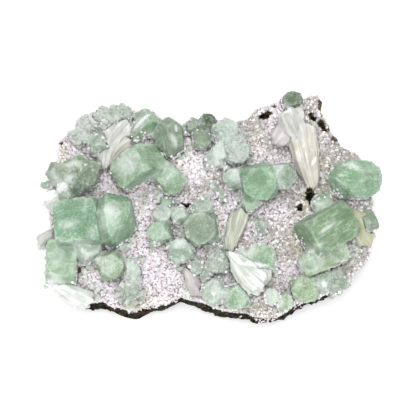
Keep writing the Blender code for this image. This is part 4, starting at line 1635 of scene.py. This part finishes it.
GREEN_GROUPS = (
    CrystalGroup("apophyllite_left_group", (
        Crystal(-50.8, -9, 5, 17.5, 18, 10, 159, 5, 0.10, Tint.BLUE_GREEN, 0.45, 0.15),
        Crystal(-38.3, -7.6, 5, 15.5, 20.5, 41, 64, 39, 0.33, Tint.SEA_GREEN, 0.55, 0.1),
        Crystal(-58.2, -23.4, 2, 16, 12, 85, 179, 6, 0.10, Tint.LIGHT_GREEN, 0.5, 0.3),
        Crystal(-38.8, -25.1, 4, 10, 11, 24, 308, 19, 0.28, Tint.YELLOW_GREEN, 0.55, 0.2),
        Crystal(-48, -18.9, 3, 9, 10, 24, 44, 29, 0.20, Tint.MINT, 0.75, 0.3),
    )),
    CrystalGroup("apophyllite_upper_left_group", (
        Crystal(-52.5, 11.6, 4, 14, 16, 31, 12, 28, 0.28, Tint.LICHEN_GREEN, 0.6, 0.45),
        Crystal(-55.5, 7.1, 3, 8, 10, 28, 258, 10, 0.25, Tint.PALE_MINT, 0.8, 0.2),
        Crystal(-60, 13.3, 2, 8.5, 9.5, 28, 147, 21, 0.30, Tint.LICHEN_GREEN, 0.5, 0.4),
        Crystal(-63, 9.3, 1.5, 3, 9, 80, 179, 26, 0.35, Tint.MINT, 0.5, 0.2),
    )),
    CrystalGroup("apophyllite_corner_group", (
        Crystal(-44.5, 24.8, 2, 7.5, 8, 26, 120, 21, 0.20, Tint.MINT, 0.6, 0.4),
        Crystal(-50.5, 28.5, 0.5, 7.5, 8, 28, 188, 37, 0.15, Tint.ICE, 0.7, 0.8),
        Crystal(-49, 33, 0.5, 7.5, 8, 22, 90, 10, 0.20, Tint.WHITISH, 0.7, 0.9),
        Crystal(-42, 35.3, 1, 8.5, 9, 26, 67, 39, 0.20, Tint.WHITISH, 0.7, 0.9),
        Crystal(-35.5, 36.8, 1, 8.5, 9, 36, 65, 14, 0.25, Tint.PALE_MINT, 0.7, 0.7),
    ), "apophyllite_pale"),
    CrystalGroup("apophyllite_top_pair", (
        Crystal(-25.5, 32.9, 1, 9.5, 12, 65, 43, 7, 0.15, Tint.LIGHT_GREEN, 0.5, 0.2),
        Crystal(-21.5, 31, 1, 6, 7, 14, 314, 29, 0.20, Tint.LIGHT_GREEN, 0.6, 0.3),
    )),
    CrystalGroup("apophyllite_main_block", (
        Crystal(-27.6, 14.9, 5, 16.5, 15.5, 42, 199, 29, 0.10, Tint.LIGHT_GREEN, 0.6, 0.1, 0.74),
        Crystal(-16.2, 11, 3, 9.5, 13, 45, 314, 43, 0.20, Tint.LIGHT_GREEN, 0.65, 0.1),
    )),
    CrystalGroup("apophyllite_standing_prism", (
        Crystal(-15.3, 26.8, 4, 11, 17, 42, 99, 0, 0.42, Tint.BEIGE_GREEN, 0.4, 0.1),
        Crystal(-11.5, 31.5, 1, 5, 6, 25, 52, 19, 0.30, Tint.MINT, 0.6, 0.3),
    )),
    CrystalGroup("apophyllite_dark_trio", (
        Crystal(-0.5, 34.1, 3, 7, 8, 21, 69, 45, 0.25, Tint.DUSKY_GREEN, 0.3, 0.1),
        Crystal(-5.5, 32.6, 2.5, 6, 7, 29, 139, 21, 0.20, Tint.DUSKY_GREEN, 0.35, 0.15),
        Crystal(-2.5, 27.2, 2, 7.2, 9, 23, 283, 90, 0.30, Tint.BEIGE_GREEN, 0.4, 0.3),
    )),
    CrystalGroup("apophyllite_pale_group", (
        Crystal(6.4, 29.6, 3, 9, 10, 23, 36, 29, 0.18, Tint.ICE, 0.6, 0.5),
        Crystal(11, 23, 3, 9.8, 11, 29, 294, 9, 0.20, Tint.ICE, 0.6, 0.5),
        Crystal(3, 18.4, 1, 6.5, 7, 38, 192, 22, 0.20, Tint.ICE, 0.75, 0.4),
        Crystal(6, 22.4, 1.5, 7, 8, 15, 214, 41, 0.20, Tint.ICE, 0.75, 0.4),
    ), "apophyllite_pale"),
    CrystalGroup("apophyllite_lying_sliver", (
        Crystal(4, 5.9, 1, 3.5, 11, 74, 301, 17, 0.40, Tint.MINT, 0.6, 0.2),
    )),
    CrystalGroup("apophyllite_centre_right_group", (
        Crystal(19.6, 9, 4, 13.5, 17, 21, 290, 12, 0.22, Tint.SEA_GREEN, 0.5, 0.1),
        Crystal(28, 11.7, 3, 10, 13, 31, 329, 8, 0.24, Tint.MINT, 0.6, 0.2),
        Crystal(11.5, 10.4, 2, 8, 10, 23, 185, 1, 0.25, Tint.MINT, 0.7, 0.3),
        Crystal(17, 1.6, 1, 7.5, 8, 13, 285, 45, 0.20, Tint.LIGHT_GREEN, 0.6, 0.3),
    )),
    CrystalGroup("apophyllite_peak_crystal", (
        Crystal(34.2, 42.2, 1, 7.5, 8.5, 27, 90, 20, 0.20, Tint.GREY_GREEN, 0.4, 0.1),
    )),
    CrystalGroup("apophyllite_right_edge_crystal", (
        Crystal(58.8, 10.4, 4, 15, 20.5, 75, 357, 5, 0.42, Tint.SEA_GREEN, 0.55, 0.15),
    )),
    CrystalGroup("apophyllite_small_right_crystal", (
        Crystal(64, -5.1, 2, 5.5, 11, 64, 296, 18, 0.30, Tint.BEIGE_GREEN, 0.5, 0.3),
    )),
    CrystalGroup("apophyllite_right_group", (
        Crystal(47, -10.2, 5, 15, 20.5, 74, 214, 15, 0.15, Tint.LEAF_GREEN, 0.45, 0.1),
        Crystal(40, -23.3, 3, 8, 9, 24, 245, 41, 0.20, Tint.LIGHT_GREEN, 0.65, 0.5),
        Crystal(51.5, -19, 2, 7.5, 9, 14, 314, 19, 0.20, Tint.YELLOW_GREEN, 0.6, 0.2),
        Crystal(45.4, -22.6, 2, 8.5, 19, 80, 205, 20, 0.20, Tint.YELLOW_GREEN, 0.65, 0.25),
        Crystal(46, -0.7, 2, 8, 9, 47, 108, 21, 0.20, Tint.LIGHT_GREEN, 0.6, 0.2),
    )),
    CrystalGroup("apophyllite_lower_right_group", (
        Crystal(38.8, -33, 2, 10.5, 11, 24, 245, 11, 0.25, Tint.YELLOW_GREEN, 0.6, 0.5),
        Crystal(50.5, -30.3, 1, 8.5, 9, 14, 314, 34, 0.20, Tint.BEIGE_GREEN, 0.6, 0.8),
        Crystal(45, -30.6, 2, 8, 9, 32, 90, 15, 0.20, Tint.MINT, 0.6, 0.5),
    ), "apophyllite_pale"),
    CrystalGroup("apophyllite_bottom_pair", (
        Crystal(11, -36.3, 1.5, 9.5, 10.5, 23, 283, 15, 0.28, Tint.LIGHT_GREEN, 0.6, 0.2),
        Crystal(3.2, -35, 2, 9, 10, 23, 185, 31, 0.20, Tint.PALE_MINT, 0.7, 0.45),
    )),
    CrystalGroup("apophyllite_bottom_right_pair", (
        Crystal(30, -38.5, 1, 7, 8, 14, 314, 29, 0.20, Tint.YELLOW_GREEN, 0.55, 0.2),
        Crystal(26, -37, 1, 6, 8, 19, 180, 11, 0.20, Tint.WHITISH, 0.75, 0.3),
    ), "apophyllite_pale"),
    CrystalGroup("apophyllite_under_fan_pair", (
        Crystal(21, -22, 1, 11.5, 9, 20, 82, 10, 0.22, Tint.LIGHT_GREEN, 0.7, 0.2),
        Crystal(13.6, -21, 0.5, 7, 8, 28, 188, 32, 0.20, Tint.MINT, 0.7, 0.3),
    )),
    CrystalGroup("apophyllite_small_crystal", (
        Crystal(20.3, -8.6, 1, 5, 8, 47, 94, 20, 0.20, Tint.MINT, 0.65, 0.3),
    )),
    CrystalGroup("apophyllite_centre_group", (
        Crystal(-2.3, -9.8, 3, 12.5, 14, 14, 240, 10, 0.20, Tint.BEIGE_GREEN, 0.5, 0.1),
        Crystal(-2.5, -1.8, 1, 7.5, 8, 27, 82, 30, 0.20, Tint.PALE_MINT, 0.7, 0.3),
        Crystal(-11, -4.6, 2, 7, 8, 29, 139, 21, 0.20, Tint.PALE_MINT, 0.75, 0.4),
    )),
    CrystalGroup("apophyllite_centre_left_group", (
        Crystal(-18.8, -11.6, 3.5, 8.2, 10, 23, 185, 16, 0.26, Tint.LIGHT_GREEN, 0.65, 0.1),
        Crystal(-18, -5.5, 2, 7.5, 8.5, 27, 98, 40, 0.20, Tint.ICE, 0.75, 0.2),
        Crystal(-16.8, 0.6, 1, 5, 6.5, 31, 66, 9, 0.30, Tint.LIGHT_GREEN, 0.6, 0.3),
    )),
    CrystalGroup("apophyllite_lower_centre_pair", (
        Crystal(-10.5, -18.9, 3, 9.5, 10.5, 14, 226, 21, 0.20, Tint.MINT, 0.65, 0.4),
        Crystal(-5, -24.5, 1, 6, 7, 19, 310, 34, 0.25, Tint.PALE_MINT, 0.6, 0.4),
    )),
    CrystalGroup("apophyllite_frosted_trio", (
        Crystal(2, -18.2, 1, 6, 6, 24, 44, 19, 0.15, Tint.PALE_MINT, 0.6, 1.0),
        Crystal(3.5, -23, 1, 8, 8, 19, 310, 89, 0.15, Tint.PALE_MINT, 0.6, 1.0),
        Crystal(0, -25.9, 1, 6, 6, 14, 173, 31, 0.15, Tint.PALE_MINT, 0.6, 1.0),
    ), "apophyllite_pale"),
    CrystalGroup("apophyllite_finger_pair", (
        Crystal(-30.2, -28.2, 2, 6.5, 13, 77, 95, 20, 0.30, Tint.ICE, 0.65, 0.5),
        Crystal(-31, -34.1, 1, 8, 8.5, 14, 240, 30, 0.15, Tint.PALE_MINT, 0.65, 0.9),
    ), "apophyllite_pale"),
)

# Thin sheaves are smoothed and roughened less, so that they keep their thickness.
THIN = {"rounds": 2, "lump": 0.1, "sink": -0.05, "broad_groove": 0.05, "fine_groove": 0.05}
PEARLY_CLUSTERS = (
    SheafCluster("stilbite_left_fan", (
        Sheaf((-54, 6, 1.5), (-66, 1, 0), 7, 12, 6, 1.0, Tint.SNOW),
    )),
    SheafCluster("stilbite_upper_left_sheaf", (
        Sheaf((-42, 14.6, 1), (-32.5, 36, 3), 6, 14, 7, 3.0, Tint.PEARL),
        Sheaf((-41, 16.5, 1), (-31, 27.2, 2), 5, 9, 5, 1.5, Tint.IVORY),
    )),
    SheafCluster("stilbite_lower_left_sheaf", (
        Sheaf((-61, -30.3, 1), (-45, -38, 1), 8, 14, 6, 0.0, Tint.SNOW),
    )),
    SheafCluster("stilbite_upper_right_complex", (
        Sheaf((38, 27, 2.5), (32.2, 40, 5), 9, 13.5, 8, 0.5, Tint.PEARL),
        Sheaf((34.5, 36, 2.5), (26.8, 25, 1), 8, 10.5, 6, 0.0, Tint.GREY_LILAC),
        Sheaf((42, 7.8, 1), (37.4, 34.5, 2.5), 7, 14.5, 7, 0.5, Tint.IVORY),
    )),
    SheafCluster("stilbite_centre_sheaf", (
        Sheaf((8.8, -21.1, 1), (13.5, -0.7, 2), 4, 10.5, 7, 0.5, Tint.CREAM),
    )),
    SheafCluster("stilbite_white_fan", (
        Sheaf((7, -19.2, 2.5), (22.5, -34.5, 4.5), 4, 17, 8, 0.0, Tint.SNOW),
    )),
    SheafCluster("stilbite_right_sheaf", (
        Sheaf((56, -3, 3), (64.5, -15.4, 0.5), 8, 12, 7, 1.0, Tint.BUFF),
    )),
    SheafCluster("stilbite_low_strip", (
        Sheaf((-9, -25.4, 1), (-2.5, -35.6, 0.5), 4, 8, 4, 0.0, Tint.GREY_LILAC),
    ), **THIN),
    SheafCluster("stilbite_left_knob", (
        Sheaf((-61.5, -10, 1), (-67, -16.4, 0), 6, 9, 7, 0.0, Tint.PEARL),
    )),
    SheafCluster("stilbite_small_top_sheaf", (
        Sheaf((-43.5, 32.5, 3.5), (-47.5, 38, 3), 3.5, 7, 5, 0.0, Tint.PEARL),
    ), **THIN),
    SheafCluster("stilbite_pale_foot", (
        Sheaf((-32, -35.6, 0.5), (-29.5, -40.5, 0), 4, 8, 5, 0.0, Tint.CREAM),
    ), **THIN),
    SheafCluster("stilbite_bright_flake", (
        Sheaf((5.5, 17.5, 1.5), (8.5, 13.7, 1.5), 2, 4, 3, 0.0, Tint.SNOW),
    ), **THIN),
)


def main() -> None:
    """Dress the whole specimen."""
    logging.basicConfig(level=logging.INFO, format="%(message)s")
    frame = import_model()
    nodes = frame["nodes"]
    standing = [node for name, node in nodes.items() if name.startswith(("apophyllite", "stilbite"))]
    bed = Bed(nodes["drusy_crust"], standing)

    Studio().build()
    chart = Chart(PATCHES)
    grains, small_grains = Growth("druse_grains", 11), Growth("druse_small_grains", 12)
    blocks = Growth("small_crystals", 13)
    BasaltSlab().build(nodes["basalt_matrix"], RockFinish("basalt_dark").make(), small_grains)
    crust = DrusyCrust(chart)
    crust.skin(nodes["drusy_crust"], SkinFinish("druse_gaps").make(), small_grains)
    for size, layer in zip(crust.sizes, (grains, small_grains)):
        crust.cover(bed, size, layer, blocks)

    finishes = {
        "apophyllite": CrystalFinish("apophyllite_green").make(),
        "apophyllite_pale": CrystalFinish("apophyllite_pale", clearest=0.3).make(),
    }
    for group in GREEN_GROUPS:
        group.build(bed, nodes[group.node], finishes[group.slot], chart, blocks, small_grains)
    pearl = PearlFinish("stilbite_pearl").make()
    for cluster in PEARLY_CLUSTERS:
        cluster.build(bed, nodes[cluster.node], pearl, chart)
    sparkle = GrainFinish("druse_sparkle").make()
    for layer in (grains, small_grains):
        layer.build(round_lump(), sparkle, "druse")
    small = GrainFinish("apophyllite_small", see_through=0.25, gloss=0.2, contrast=0.35)
    blocks.build(small_block(), small.make(), "apophyllite_pale")


if __name__ == "__main__":
    main()
